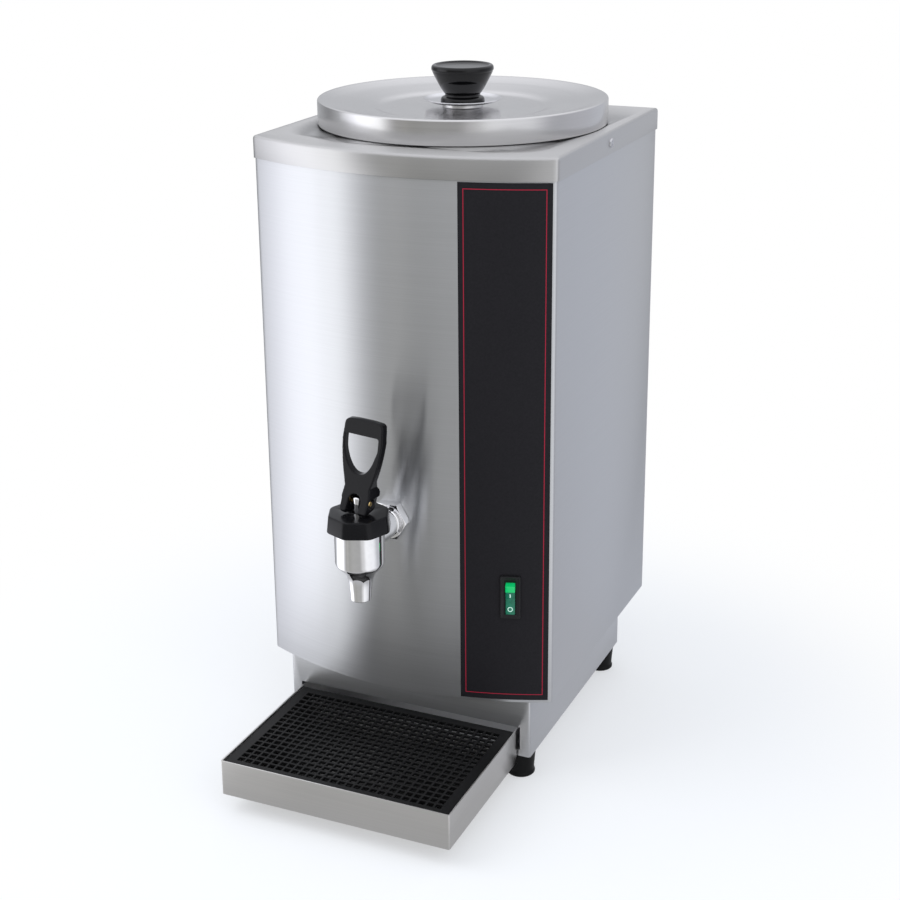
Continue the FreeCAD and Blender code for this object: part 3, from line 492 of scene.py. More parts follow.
# %% Mould the grid
columns, rows, rib, plate = 26, 18, 1.6, 2.4
grid_half = grid_high.x
field_x = grid_half - 7.4
field_front, field_back = grid_low.y + 4.4, grid_high.y - 6.2
pitch_x, pitch_y = 2 * field_x / columns, (field_back - field_front) / rows
centre_y = (field_front + field_back) / 2
rest()
bpy.ops.mesh.primitive_grid_add(x_subdivisions=columns + 2, y_subdivisions=rows + 2, size=MM,
                                location=Vector((0, centre_y, grid_high.z)) * MM)
bpy.context.object.scale = (pitch_x * (columns + 2), pitch_y * (rows + 2), 1)
grid = named("grid_moulded")
outer_x, outer_front, outer_back = field_x + pitch_x, field_front - pitch_y, field_back + pitch_y
for axis, outer, border in ((0, -outer_x, -grid_half), (0, outer_x, grid_half),
                            (1, outer_front, grid_low.y), (1, outer_back, grid_high.y)):
    pick(grid, "VERT", lambda at, normal: abs(at[axis] - outer) < 0.1)
    move = Vector()
    move[axis] = (border - outer) * MM
    bpy.ops.transform.translate(value=move)
pick(grid, "FACE", lambda at, normal: abs(at.x) < field_x and field_front < at.y < field_back)
bpy.ops.mesh.inset(thickness=rib / 2 * MM, use_individual=True)
bpy.ops.mesh.delete(type="FACE")
tidy(grid)
thicken(grid, plate)
soften(grid, 0.28, 1, 60)
print("grid pitch", round(pitch_x, 2), round(pitch_y, 2), "holes", columns * rows)

# %% Add its skirt and legs
skirt_depth, skirt_sheet, leg_width = 6.5, 1.4, 7.0
skirt = block("grid_skirt", (-grid_half, grid_low.y, grid_high.z - skirt_depth),
              (grid_half, grid_high.y, grid_high.z - plate / 2))
open_up(skirt, lambda at, normal: upright(normal))
thicken(skirt, skirt_sheet)
leg = block("grid_leg", (-grid_half, grid_low.y, grid_low.z),
            (-grid_half + leg_width, grid_low.y + leg_width, grid_high.z - plate))
soften(leg, 0.5, 2)
legs = at_corners(leg, 2 * grid_half - leg_width, grid_high.y - grid_low.y - leg_width)
grid = joined("grid_moulded", [grid, skirt] + legs)
finish(grid, "grid", "drip_grid", "grid_plastic", 30)

# %% [markdown]
# ## Container, lid and knob
# These are spun and turned pieces, so each is one profile on a lathe: the container with its flange and
# rounded floor, the lid with its dish, rolled rim and skirt, the washer's shallow cup and the knob. The
# rings are crowded where the metal bends and sparse where it runs straight.

# %% Spin the container
pot_high = span("milk_container")[1]
pot_floor, drain_bore = 235.0, 6.0
flange, mouth = cover_high.z - pot_floor, pot_high.z - pot_floor
pot_profile = [
    (POLE, 0), (93, 0), (96, 0.5), (98.4, 1.9), (99.6, 4), (100, 7),
    (100, flange - 1.5), (100.4, flange - 0.4), (101.4, flange), (107.6, flange), (108.2, flange + 0.5),
    (107.9, flange + 1.1), (107.2, flange + 1.2), (101.0, flange + 1.2), (100.2, flange + 1.6),
    (100, flange + 2.4), (100, mouth - 0.9), (99.85, mouth - 0.3), (99.5, mouth), (99.15, mouth - 0.3),
    (99, mouth - 0.9), (99, 7), (98.6, 4.8), (97.4, 2.7), (95.4, 1.4), (93, 1), (POLE, 1)]
pot = turned("container_spun", pot_profile, (0, axis_y, pot_floor), sides=144)
drain_place = (0, axis_y - 70.0, pot_floor)
drain_profile = [(6, -21), (8.4, -21), (9, -20.4), (9, 0.4), (6, 0.4), (6, -21)]
drain = turned("drain", drain_profile, drain_place, sides=48)
carve(pot, drill(drain_bore, -5, 5, drain_place))
pot = joined("container_spun", [pot, drain])
finish(pot, "container", "milk_container", "container_steel", 30)

# %% Spin the lid
rim, boss, boss_under = 8.0, 3.8, 2.8
disc_z = lid_high.z - rim
lip = lid_low.z - 0.8 - disc_z
lid_profile = [
    (POLE, boss), (14.2, boss), (15.1, 3.5), (15.5, 2.8), (15.6, 0.7), (16.1, 0.15), (17, 0), (59, 0),
    (61.5, 0.15), (64, 0.6), (66.5, 1.3), (69, 1.85), (73, 2.35), (92, 4.4), (96, 5.0), (104, 6.9),
    (107, rim - 0.45), (108.4, rim - 0.12), (109.4, rim - 0.1), (110.05, rim - 0.4),
    (110.4, rim - 0.9), (110.5, rim - 1.6), (110.5, lip + 0.5), (110.3, lip + 0.1), (110, lip),
    (109.7, lip + 0.1), (109.5, lip + 0.5), (109.5, rim - 2.5), (109.2, rim - 1.3), (108, rim - 1.1),
    (104, 5.9), (73, 0.25), (69, -0.4), (65, -0.85), (61, -1), (16, -1), (14.8, -0.8), (14.5, 0),
    (14.5, 2.4), (14, boss_under), (POLE, boss_under)]
lid = turned("lid_spun", lid_profile, (0, axis_y, disc_z), sides=144)
finish(lid, "lid", "lid", "lid_steel", 30)

# %% Press the washer and turn the knob
washer_profile = [
    (POLE, 0), (19, 0), (23, 0.15), (26, 0.7), (28.2, 1.6), (29.3, 2.5), (29.5, 2.85), (29.35, 3.0),
    (29.0, 2.95), (27.8, 2.2), (25.6, 1.45), (23, 1.02), (19, 0.9), (POLE, 0.9)]
washer = turned("washer_pressed", washer_profile, (0, axis_y, disc_z + boss))
finish(washer, "lid", "knob_washer", "washer_chrome", 40)
knob_low, knob_high = span("lid_knob")
top = knob_high.z - knob_low.z
knob_profile = [
    (POLE, 0), (16.6, 0), (16.8, 0.3), (16.7, 1.3), (16.1, 2.5), (15.0, 3.3), (13.9, 3.7), (13.5, 4.2),
    (13.4, 5.0), (13.8, 5.7), (14.5, 6.3), (15.3, 7.4), (16.6, 9.5), (18.3, 12.6), (20.2, 16.2),
    (21.9, 19.6), (22.7, 21.4), (22.95, 22.1), (22.9, 22.5), (23.3, 22.9), (23.65, 23.6), (23.7, 24.6),
    (23.5, top - 1.4), (23.0, top - 0.6), (22.2, top - 0.1), (21.3, top), (20.5, top - 0.25),
    (19.8, top - 0.9), (19.0, top - 1.4), (16, top - 1.75), (10, top - 1.95), (POLE, top - 2.0)]
knob = turned("knob_turned", knob_profile, (0, axis_y, knob_low.z))
finish(knob, "lid", "lid_knob", "knob_plastic", 60)
screw_profile = [(POLE, -2.6), (2.6, -2.6), (3.7, -1.9), (4, -0.8), (4, 0), (POLE, 0)]
screw = turned("knob_screw", screw_profile, (0, axis_y, disc_z + boss_under), sides=48)
carve(screw, block("slot_tool", (-5, axis_y - 0.5, disc_z), (5, axis_y + 0.5, disc_z + 1.2)))
finish(screw, "lid", None, "screw_steel")

# %% [markdown]
# ## The tap
# The tap is the showpiece: a chrome body turned with an ogee down to its nozzle, a stepped shank through
# the panel held by a hexagon nut, a black bonnet, the stem and a black lever with a finger loop. The
# nut is a six-sided prism met by a turned cone, which gives the curved chamfer that a real nut has.

# %% Turn the tap's body and shank
tap_profile = [
    (5.2, 190), (5.2, 169.6), (5.5, 169.1), (6.6, 169.0), (7.25, 169.15), (7.6, 169.6), (7.7, 170.4),
    (7.85, 173), (8.1, 176), (8.4, 179), (8.7, 181.6), (9.1, 184), (9.6, 186), (10.3, 187.9),
    (11.2, 189.7), (12.4, 191.4), (13.7, 192.9), (15.0, 194.2), (16.1, 195.2), (17.0, 196.2),
    (17.65, 197.3), (18.05, 198.6), (18.2, 200.2), (18.2, 233), (13.4, 233), (13.4, 202), (5.2, 202),
    (5.2, 190)]
barrel = turned("barrel", tap_profile, (0, tap_y, 0))
panel_y = bow_at(0, body_inset)
nut_height = 7.45
shank_back = panel_y - span("tap_body")[1].y
shank_profile = [(POLE, shank_back), (8.3, shank_back)] + [(radius, nut_height + z) for radius, z in (
    (8.3, 0), (10.9, 0), (11.4, 0.5), (11.4, 3.0), (10.9, 3.5), (9.9, 3.9), (9.9, 5.0), (10.8, 5.3),
    (11.2, 5.8), (11.2, 12), (10.4, 15), (9.8, 30), (POLE, 30))]
shank = turned("shank", shank_profile, (0, panel_y, tap_z), FRONT, 72)
carve(shank, drill(14, 200, 240, (0, tap_y, 0), sides=96))
tap = joined("tap_turned", [barrel, shank])
finish(tap, "casing", "tap_body", "tap_chrome", 30)

# %% Cut the lock nut
nut_flats, nut_gap = 27.0, 0.05
nut = prism("nut_cut", 6, nut_flats / sqrt(3), nut_height - nut_gap, (0, 0, nut_gap))
tidy(nut)
stand(nut, turn=(0, 0, 30))
cone = [
    (POLE, -1), (14.6, -1), (14.6, 0.3), (16.5, 1.4), (16.5, 5.9), (13.3, nut_height),
    (12.4, nut_height), (12.1, 7.2), (POLE, 7.2)]
carve(nut, turned("chamfer_tool", cone, sides=72), "INTERSECT")
stand(nut, (0, panel_y, tap_z), FRONT)
soften(nut, 0.18, 2, 25)
finish(nut, "casing", "tap_lock_nut", "tap_chrome", 20)

# %% Mould the bonnet
foot_radius, top_radius = 24.3, 22.9
bonnet = prism("bonnet_moulded", 8, foot_radius, tap_high.z - tap_low.z, (0, tap_y, tap_low.z))
narrow = top_radius / foot_radius
bpy.ops.transform.resize(value=(narrow, narrow, 1), center_override=Vector((0, tap_y, tap_high.z)) * MM)
tidy(bonnet)
round_off(bonnet, lambda at, way: upright(way), 2.8, 5)
round_off(bonnet, lambda at, way: at.z > tap_high.z - NEAR, 1.3, profile=0.6)
round_off(bonnet, lambda at, way: at.z < tap_low.z + NEAR, 0.5, 3)
bore = [(POLE, -2), (18.3, -2), (18.3, 8.5), (4.45, 8.5), (4.45, 14), (POLE, 14)]
carve(bonnet, turned("bore_tool", bore, (0, tap_y, tap_low.z)))
soften(bonnet, 0.3, 2, 60)
finish(bonnet, "casing", "tap_bonnet", "lever_plastic", 30)

# %% Turn the stem and the brass pin
stem_low, stem_high = span("tap_stem")
stem_profile = [
    (POLE, stem_low.z), (4, stem_low.z), (4, stem_high.z - 1), (3.2, stem_high.z - 0.2),
    (2, stem_high.z), (POLE, stem_high.z)]
stem = turned("stem_turned", stem_profile, (0, tap_y, 0), sides=48)
finish(stem, "stem", "tap_stem", "tap_chrome", 40)
pin_low, pin_high = span("tap_pivot_pin")
pin_z = (pin_low.z + pin_high.z) / 2
lever_turn, pin_radius = -10.0, 2.0
pin_half = pin_high.x / cos(radians(lever_turn)) - pin_radius * abs(tan(radians(lever_turn)))
pin_profile = [
    (POLE, -pin_half), (1.5, -pin_half), (pin_radius, -pin_half + 0.5), (pin_radius, pin_half - 0.5),
    (1.5, pin_half), (POLE, pin_half)]
pin = turned("pin_turned", pin_profile, (0, tap_y, pin_z), (0, 90, lever_turn), 32)
finish(pin, "stem", "tap_pivot_pin", "pin_brass", 40)

# %% [markdown]
# ### The closing spring
# A coil between the bonnet and the stem's collar pushes the stem down, and it gets shorter as the
# lever lifts the stem. Its solid is a plain sleeve that nobody sees in the closed tap, so a copy of
# that mesh serves, and it is given a mesh of its own.

# %% Copy the spring
def copied(name, node):
    """A merged copy of a solid's mesh, with each flat area as one face."""
    take(nodes[node])
    bpy.ops.object.duplicate()
    piece = bpy.context.object
    piece.name = name
    piece.parent = None
    for key in [k for k in piece.keys() if k.startswith("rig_")]:
        del piece[key]
    edit(piece)
    bpy.ops.mesh.remove_doubles(threshold=0.002 * MM)
    bpy.ops.mesh.dissolve_limited(angle_limit=radians(0.5))
    bpy.ops.mesh.normals_make_consistent(inside=False)
    rest()
    return piece


spring = copied("spring_wound", "tap_spring")
finish(spring, "casing", "tap_spring", "screw_steel", 40)
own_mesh(spring)

# %% [markdown]
# ### The lever
# The lever is a moulding with soft edges, a finger loop like a rounded shield and a fork of two lobes.
# Its solid has the true cam and eye, so a copy of that mesh is used. Two tools drawn from a half line
# and its mirror image widen the loop and round the lobes. A fine voxel remesh and some smoothing then
# soften every edge alike, which no bevel does where so many curved faces meet.

# %% Mould the lever
def silhouette(name, right_half, near, far):
    """A tool whose front view is a right half line and its mirror image, as deep as from near to far."""
    line = right_half + [(-x, z) for x, z in reversed(right_half) if x > 0.01]
    tool = dot(name, (line[0][0], near, line[0][1]))
    draw_on([(x, near, z) for x, z in line])
    fill_line(tool)
    raise_all(tool, (0, far - near, 0))
    tidy(tool)
    return tool


loop_half = [
    (13.6, 46.2), (13.6, 38.8), (13.35, 36.6), (12.85, 34.2), (12.1, 31.8), (11.2, 29.5), (10.1, 27.3),
    (8.8, 25.2), (7.3, 23.3), (5.6, 21.7), (3.8, 20.6), (1.9, 20.0), (0, 19.8)]
lobe_half = [
    (30, 70), (30, 3), (11.9, 3), (11.9, -2.6), (11.75, -3.8), (11.3, -5.0), (10.6, -6.1), (9.7, -6.9),
    (8.6, -7.5), (7.4, -7.8), (0, -7.8)]
lever = copied("lever_moulded", "tap_lever")
stand(lever, (0, -tap_y, -pin_z))
stand(lever, turn=(0, 0, -lever_turn))
carve(lever, silhouette("loop_tool", loop_half, -20, 30))
carve(lever, silhouette("lobe_tool", lobe_half, -25, 35), "INTERSECT")
shape_with(lever, "REMESH", mode="VOXEL", voxel_size=0.4 * MM)
shape_with(lever, "SMOOTH", factor=0.5, iterations=8)
stand(lever, (0, tap_y, pin_z), (0, 0, lever_turn))
finish(lever, "lever", "tap_lever", "lever_plastic", 40)

# %% [markdown]
# ## Label and switch
# The label is a thin dark film on the bow with a fine red outline. The rocker switch stands square to
# the bow there: a black bezel with a recess and a green rocker in the shape of a shallow V, with a bar
# and a ring printed on it. Each switch piece is drawn at the origin facing the front, then stood on the
# film with one turn and one move.

# %% Lay the label
film_sheet = 0.55
label_inset = 1.1 - 0.05 - 0.6
label = bow_line("label_film", label_inset, label_low.x, label_high.x, label_low.z, 28)
raise_all(label, (0, 0, label_high.z - label_low.z))
tidy(label)
pick(label, "FACE", lambda at, normal: True)
if label.data.polygons[0].normal.y > 0:
    bpy.ops.mesh.flip_normals()
thicken(label, film_sheet)
finish(label, "casing", "control_panel_overlay", "overlay_film", 30)

# %% Build the switch
switch_x, switch_z = 90.0, 158.0
switch_turn = degrees(asin(switch_x / (bow_radius - label_inset)))
rocker_axis = 2.0


def on_switch(piece, lean=0.0):
    """Stand a piece, drawn at the origin facing the front, where the switch sits."""
    if lean:
        stand(piece, (0, -rocker_axis, 0))
        stand(piece, (0, rocker_axis, 0), (lean, 0, 0))
    return stand(piece, (switch_x, bow_at(switch_x, label_inset), switch_z), (0, 0, switch_turn))


bezel_half = 7.5
bezel = block("switch_bezel", (-bezel_half, -2.05, -17), (bezel_half, -0.05, 17))
pick(bezel, "FACE", lambda at, normal: normal.y < -0.9)
bpy.ops.mesh.inset(thickness=1.0 * MM)
bpy.ops.mesh.inset(thickness=0.7 * MM, depth=-0.5 * MM)
bpy.ops.mesh.inset(thickness=1.5 * MM)
bpy.ops.mesh.extrude_region_move(TRANSFORM_OT_translate={"value": (0, 7 * MM, 0)})
round_off(bezel, lambda at, way: abs(way.y) > 0.9 and abs(at.x) > bezel_half - 0.1, 0.9)
soften(bezel, 0.3, 2)
can = block("switch_can", (-5.3, -0.05, -14.8), (5.3, 20, 14.8))
open_up(can, lambda at, normal: normal.y < -0.9)
soften(can, 0.4, 2)
bezel = on_switch(joined("switch_bezel", [bezel, can]))
finish(bezel, "casing", "switch_housing", "switch_plastic", 30)

# %% Mould the rocker
rocker_half, rocker_rise, rocker_back, rocker_depth, rocker_lean = 3.5, 12.6, 11.0, 6.0, 10.0
face_y, end_y = -2.6, -2.6 - 2.2
rocker = dot("rocker_moulded", (-rocker_half, face_y, 0))
draw_on([(-rocker_half, y, z) for y, z in (
    (face_y, 0), (end_y, rocker_rise), (rocker_depth, rocker_back), (rocker_depth, -rocker_back),
    (end_y, -rocker_rise))])
fill_line(rocker)
raise_all(rocker, (2 * rocker_half, 0, 0))
tidy(rocker)
soften(rocker, 0.5, 3, 12)
on_switch(rocker, rocker_lean)
finish(rocker, "rocker", "switch_rocker", "rocker_plastic", 30)

# %% Print the marks
bar = block("bar", (-0.45, -0.05, -1.7), (0.45, 0.05, 1.7))
ring_profile = [(1.35, -0.05), (1.95, -0.05), (1.95, 0.05), (1.35, 0.05), (1.35, -0.05)]
ring = turned("ring", ring_profile, turn=FRONT, sides=40)
slope = degrees(atan2(face_y - end_y, rocker_rise))
for mark, height in ((bar, 3.3), (ring, -8.2)):
    mark_y = face_y - abs(height) * tan(radians(slope)) - 0.02
    stand(mark, (0, mark_y, height), (slope if height > 0 else -slope, 0, 0))
marks = on_switch(joined("switch_marks", [bar, ring]), rocker_lean)
finish(marks, "rocker", None, "rocker_plastic", 30)

# %% [markdown]
# ## Screws and the gland
# Small fasteners say how a machine is put together. A pan-head screw holds the cover at each side, and
# more of them hold the rear panel. The gland is a turned nylon body with a hexagon and a ribbed cap.

# %% Turn the screws
def pan_head(at, turn, radius, height, slot=0):
    """A domed screw head with a slot."""
    dome = [(radius * across, height * up) for across, up in (
        (1, 0.25), (0.94, 0.5), (0.78, 0.78), (0.5, 0.95))]
    head = turned("head", [(POLE, -0.5), (radius, -0.5)] + dome + [(POLE, height)], sides=40)
    carve(head, block("slot_tool", (-radius, -0.55, height * 0.3), (radius, 0.55, height + 1)))
    stand(head, turn=(0, 0, slot))
    return stand(head, at, turn)


screw_y, screw_z = corner_y + 110.0, cover_high.z - 8.5
head = pan_head((cover_half, screw_y, screw_z), RIGHT, 3.6, 1.75, 80)
opposite = twin(head, "head", scale=(-1, 1, 1))
tidy(opposite)
heads = joined("cover_screw_heads", [head, opposite])
finish(heads, "casing", "cover_screws", "screw_steel", 40)
rear_x, rear_z, rear_pitch = 111.5, 90.0, 121.0
first = pan_head((-rear_x, span("rear_panel")[1].y, rear_z), BACK, 3.0, 1.5)
rear_heads = [first] + [twin(first, "head", (x, 0, row * rear_pitch))
                        for x in (0, 2 * rear_x) for row in range(4) if x or row]
rear_heads = joined("rear_screw_heads", rear_heads)
finish(rear_heads, "casing", None, "screw_steel", 40)

# %% Mould the gland
gland_profile = [
    (4.3, -10), (7.9, -10), (7.9, 0), (10.4, 0), (10.4, 5.2), (9.5, 5.4), (9.5, 6), (10, 6.3),
    (10, 11.6), (9.4, 12.6), (7.2, 13.9), (5.4, 14), (4.3, 13.5), (4.3, -10)]
gland_place, gland_flats = (0, plinth_high.y, gland_z), 22.0
gland = turned("gland_body", gland_profile, gland_place, BACK, 48)
hexagon = prism("hexagon", 6, gland_flats / sqrt(3), 5)
tidy(hexagon)
carve(hexagon, drill(10.2, -1, 6))
stand(hexagon, gland_place, BACK)
soften(hexagon, 0.5, 2)
gland = joined("gland_moulded", [gland, hexagon])
finish(gland, "casing", "cable_gland", "gland_plastic", 35)

# %% [markdown]
# ## Finishes
# Each finish is a small tree of nodes on object coordinates, so the pattern stays with the piece in
# every view. Short helpers write to one current tree, as Blender's operators work on one object. A
# value that is the same all over is written on the shader itself.

# %% Helpers for materials
finishes = {}


def start(name):
    """A new finish. Its tree is the one that the helpers write to from here on."""
    global tree
    material = finishes[name] = bpy.data.materials.new(name)
    material.use_nodes = True
    tree = material.node_tree
    tree.nodes.clear()
    output = tree.nodes.new("ShaderNodeOutputMaterial")
    shader = tree.nodes.new("ShaderNodeBsdfPrincipled")
    tree.links.new(shader.outputs[0], output.inputs[0])
    return shader, object_place()


def give(socket, value):
    """Link a socket, or write a number or a colour."""
    if isinstance(value, bpy.types.NodeSocket):
        tree.links.new(value, socket)
    else:
        socket.default_value = value


def add(kind, inputs=(), **settings):
    made = tree.nodes.new("ShaderNode" + kind)
    for name, value in settings.items():
        setattr(made, name, value)
    for key, value in dict(inputs).items():
        give(made.inputs[key], value)
    return made


def sum_of(how, *values):
    return add("Math", dict(enumerate(values)), operation=how).outputs[0]


def vector_of(how, *values, out="Vector"):
    return add("VectorMath", dict(enumerate(values)), operation=how).outputs[out]


def object_place():
    return add("TexCoord").outputs["Object"]


def axes(place):
    """The x, y and z of a place."""
    return add("SeparateXYZ", {0: place}).outputs


def noise(place, scale, stretch=(1, 1, 1), detail=2.0):
    """Noise from 0 to 1 on a place, stretched by a scale for each axis."""
    mapped = add("Mapping", {"Vector": place, "Scale": stretch}).outputs[0]
    return add("TexNoise", {"Vector": mapped, "Scale": scale, "Detail": detail}).outputs["Fac"]


def between(value, low, high, start_at=0.25, end_at=0.75):
    """Spread a noise value over a range."""
    ends = {"Value": value, "From Min": start_at, "From Max": end_at, "To Min": low, "To Max": high}
    return add("MapRange", ends).outputs[0]


def blend(share, low, high):
    """Mix two colours by a share."""
    mixed = add("Mix", {0: share}, data_type="RGBA")
    for key, colour in ((6, low), (7, high)):
        give(mixed.inputs[key], (*colour, 1) if isinstance(colour, tuple) else colour)
    return mixed.outputs[2]


def bump(height, strength, distance):
    return add("Bump", {"Height": height, "Strength": strength, "Distance": distance * MM}).outputs[0]


def shade(colour, by):
    return tuple(min(1.0, c * by) for c in colour)


def tint(share, colour, low, high):
    """Mix a darker and a lighter shade of a colour by a share."""
    return blend(share, shade(colour, low), shade(colour, high))


def dress(shader, inputs):
    """Link or write several inputs of the shader."""
    for name, value in inputs.items():
        give(shader.inputs[name], value)

# %% [markdown]
# ### Brushed and spun steel
# Brushing leaves fine scratches in one direction, so light spreads far across them and little along
# them. Noise stretched along the grain varies the colour, the roughness and a very small bump, and the
# shader's anisotropy draws each reflection out across the grain. On upright walls the grain runs level;
# on level faces it runs from side to side. A spun lid has its grain in circles, so its noise reads the
# distance from the axis instead. The tray's floor under the grid is darkened in its colour: painted
# shade standing in for the grid's shadow.

# %% Make the steels
LINES = 1500.0


def upright_mask():
    """0 on upright walls and 1 on level faces."""
    rise = axes(add("TexCoord").outputs["Normal"])[2]
    return between(sum_of("ABSOLUTE", rise), 0.0, 1.0, 0.55, 0.8)


def brushed(name, colour, rough, level_rough, aniso=1.0, lines=LINES, grid_shade_below=None, spread=0.03):
    shader, place = start(name)
    mask = upright_mask()
    grain = add("Mix", {0: mask, 2: noise(place, 1.0, (9, 9, lines)),
                        3: noise(place, 1.0, (9, lines, 9))}).outputs[0]
    cloud = noise(place, 9.0, (1, 1, 1.6))
    tone = sum_of("ADD", sum_of("MULTIPLY", grain, 0.75), sum_of("MULTIPLY", cloud, 0.25))
    steel = tint(between(tone, 0, 1, 0.3, 0.7), colour, 1 - spread, 1 + spread)
    # Painted shade: the well's level floor below this height is darkened, standing in for the grid's
    # shadow.
    if grid_shade_below:
        painted_grid_shade = sum_of("LESS_THAN", axes(place)[2], grid_shade_below * MM)
        steel = blend(sum_of("MULTIPLY", painted_grid_shade, mask), steel, shade(colour, 0.3))
    base = add("Mix", {0: mask, 2: rough, 3: level_rough}).outputs[0]
    swing = between(tone, -0.02, 0.02, 0.3, 0.7)
    normal = add("NewGeometry").outputs["Normal"]
    dress(shader, {
        "Base Color": steel, "Metallic": 1.0, "Roughness": sum_of("ADD", base, swing),
        "Normal": bump(grain, 0.12, 0.02), "Anisotropic": aniso, "Anisotropic Rotation": 0.25,
        "Tangent": vector_of("CROSS_PRODUCT", normal, (0.0, 0.05, 1.0))})


def spun(name, colour, rough, centre_y, aniso=0.8):
    shader, place = start(name)
    place = vector_of("SUBTRACT", place, (0.0, centre_y * MM, 0.0))
    x, y, z = axes(place)
    flat = add("CombineXYZ", {0: x, 1: y}).outputs[0]
    radius = vector_of("LENGTH", flat, out="Value")
    rings = add("CombineXYZ", {
        0: sum_of("MULTIPLY", radius, LINES), 1: sum_of("MULTIPLY", z, LINES),
        2: sum_of("ARCTAN2", y, x)}).outputs[0]
    grain = add("TexNoise", {"Vector": rings, "Scale": 1.0, "Detail": 2.0}).outputs["Fac"]
    cloud = sum_of("MULTIPLY", noise(place, 12.0), 0.06)
    dress(shader, {
        "Base Color": tint(between(grain, 0, 1, 0.3, 0.7), colour, 0.97, 1.025),
        "Metallic": 1.0,
        "Roughness": sum_of("ADD", between(grain, rough - 0.015, rough + 0.015), cloud),
        "Normal": bump(grain, 0.06, 0.02), "Anisotropic": aniso, "Anisotropic Rotation": 0.25,
        "Tangent": vector_of("CROSS_PRODUCT", (0.0, 0.0, 1.0), flat)})


brushed("casing_steel", (0.62, 0.63, 0.645), 0.30, 0.30)
brushed("cover_steel", (0.58, 0.578, 0.575), 0.30, 0.30, spread=0.025)
# The tray's floor below this height gets painted shade for the grid's shadow.
brushed("tray_steel", (0.71, 0.70, 0.68), 0.33, 0.30, grid_shade_below=tray_low.z + 2)
brushed("zinc_steel", (0.50, 0.51, 0.52), 0.42, 0.42, 0.3, 300.0)
spun("container_steel", (0.62, 0.625, 0.63), 0.30, axis_y)
spun("lid_steel", (0.68, 0.675, 0.675), 0.18, axis_y, 0.5)
print("steels:", sorted(finishes))

# %% [markdown]
# ### Chrome, brass and small metal
# Chrome is almost a mirror. A little roughness and a very soft long wave in the surface keep it from
# looking computed. Plated screws and brass are the same tree with more roughness and a fine grain.

# %% Make the polished metals
def polished(name, colour, rough, wave=0.0, grain=250.0):
    shader, place = start(name)
    fine = noise(place, grain, detail=3.0)
    dress(shader, {"Base Color": tint(between(fine, 0, 1), colour, 0.96, 1.03),
                   "Metallic": 1.0, "Roughness": between(fine, rough * 0.7, rough * 1.4)})
    if wave:
        give(shader.inputs["Normal"], bump(noise(place, 60.0, detail=1.0), 0.3, wave))


polished("tap_chrome", (0.92, 0.92, 0.93), 0.025, 0.05)
polished("washer_chrome", (0.74, 0.74, 0.76), 0.10, 0.03)
polished("screw_steel", (0.58, 0.58, 0.60), 0.16)
polished("pin_brass", (0.72, 0.52, 0.22), 0.22)
polished("terminal_metal", (0.66, 0.62, 0.50), 0.30)
polished("heater_cast", (0.50, 0.50, 0.51), 0.52, 0.25, 420.0)

# %% [markdown]
# ### Plastics, rubber and board
# Moulded plastic carries the spark-eroded texture of its mould: a fine bump and a roughness that wanders
# a little. The knob is polished, the lever and the grid are satin, the gland is matt nylon. Rubber is
# rougher with a dusty tone, and the boards show loose fibres.

# %% Make the plastics and the rest
def moulded(name, colour, rough, texture=900.0, relief=0.03, dust=0.12, gloss=0.25):
    shader, place = start(name)
    fine = noise(place, texture)
    wander = noise(place, 35.0, detail=3.0)
    light = tuple(c + 0.03 * dust + c * dust for c in colour)
    dress(shader, {"Base Color": blend(between(wander, 0, 1), colour, light),
                   "Roughness": between(wander, rough * 0.85, rough * 1.2),
                   "Normal": bump(fine, 0.35, relief), "Specular IOR Level": gloss})


moulded("lever_plastic", (0.004, 0.004, 0.005), 0.19, 700.0, 0.03, 0.06, 0.20)
moulded("knob_plastic", (0.002, 0.002, 0.0025), 0.05, 200.0, 0.02, 0.04, 0.36)
moulded("grid_plastic", (0.006, 0.006, 0.0065), 0.40, 900.0, 0.03, 0.08, 0.15)
moulded("gland_plastic", (0.02, 0.02, 0.021), 0.5)
moulded("switch_plastic", (0.010, 0.010, 0.011), 0.30)
moulded("foot_rubber", (0.004, 0.004, 0.004), 0.42, 500.0, 0.05, 0.12, 0.13)
moulded("cup_rubber", (0.66, 0.65, 0.61), 0.5, 500.0, 0.05)
moulded("block_ceramic", (0.74, 0.73, 0.69), 0.25, 200.0, 0.02)
moulded("board_fibre", (0.52, 0.47, 0.37), 0.9, 260.0, 0.5, 0.3)

# %% [markdown]
# ### The label's film and the rocker's painted glow
# The film is satin black with a fine red line drawn a few millimetres inside its edge. The line is
# worked out in the material: the distance to a rectangle is the larger of two distances, and the line is
# where that is almost nothing. The rocker is green and clear. Its upper third is painted lighter and
# given a glow that fades in above a height: a painted highlight where the raised end catches the light.

# %% Make the film and the rocker
def outside(value, low, high, margin):
    """How far a value lies outside a range drawn in by a margin. It is negative inside."""
    middle, half = (low + high) / 2, (high - low) / 2 - margin
    away = sum_of("ABSOLUTE", sum_of("SUBTRACT", value, middle * MM))
    return sum_of("SUBTRACT", away, half * MM)


def film(name):
    shader, place = start(name)
    x, _, z = axes(place)
    beyond = sum_of("MAXIMUM", outside(x, label_low.x, label_high.x, 3.9),
                    outside(z, label_low.z, label_high.z, 4.6))
    line = sum_of("LESS_THAN", sum_of("ABSOLUTE", beyond), 0.26 * MM)
    fine = noise(place, 700.0)
    black = blend(between(fine, 0, 1), (0.0095, 0.0090, 0.0110), (0.0135, 0.0125, 0.0150))
    dress(shader, {
        "Base Color": blend(line, black, (0.36, 0.012, 0.036)), "Specular IOR Level": 0.15,
        "Roughness": between(noise(place, 20.0, detail=3.0), 0.42, 0.52),
        "Normal": bump(fine, 0.3, 0.01)})


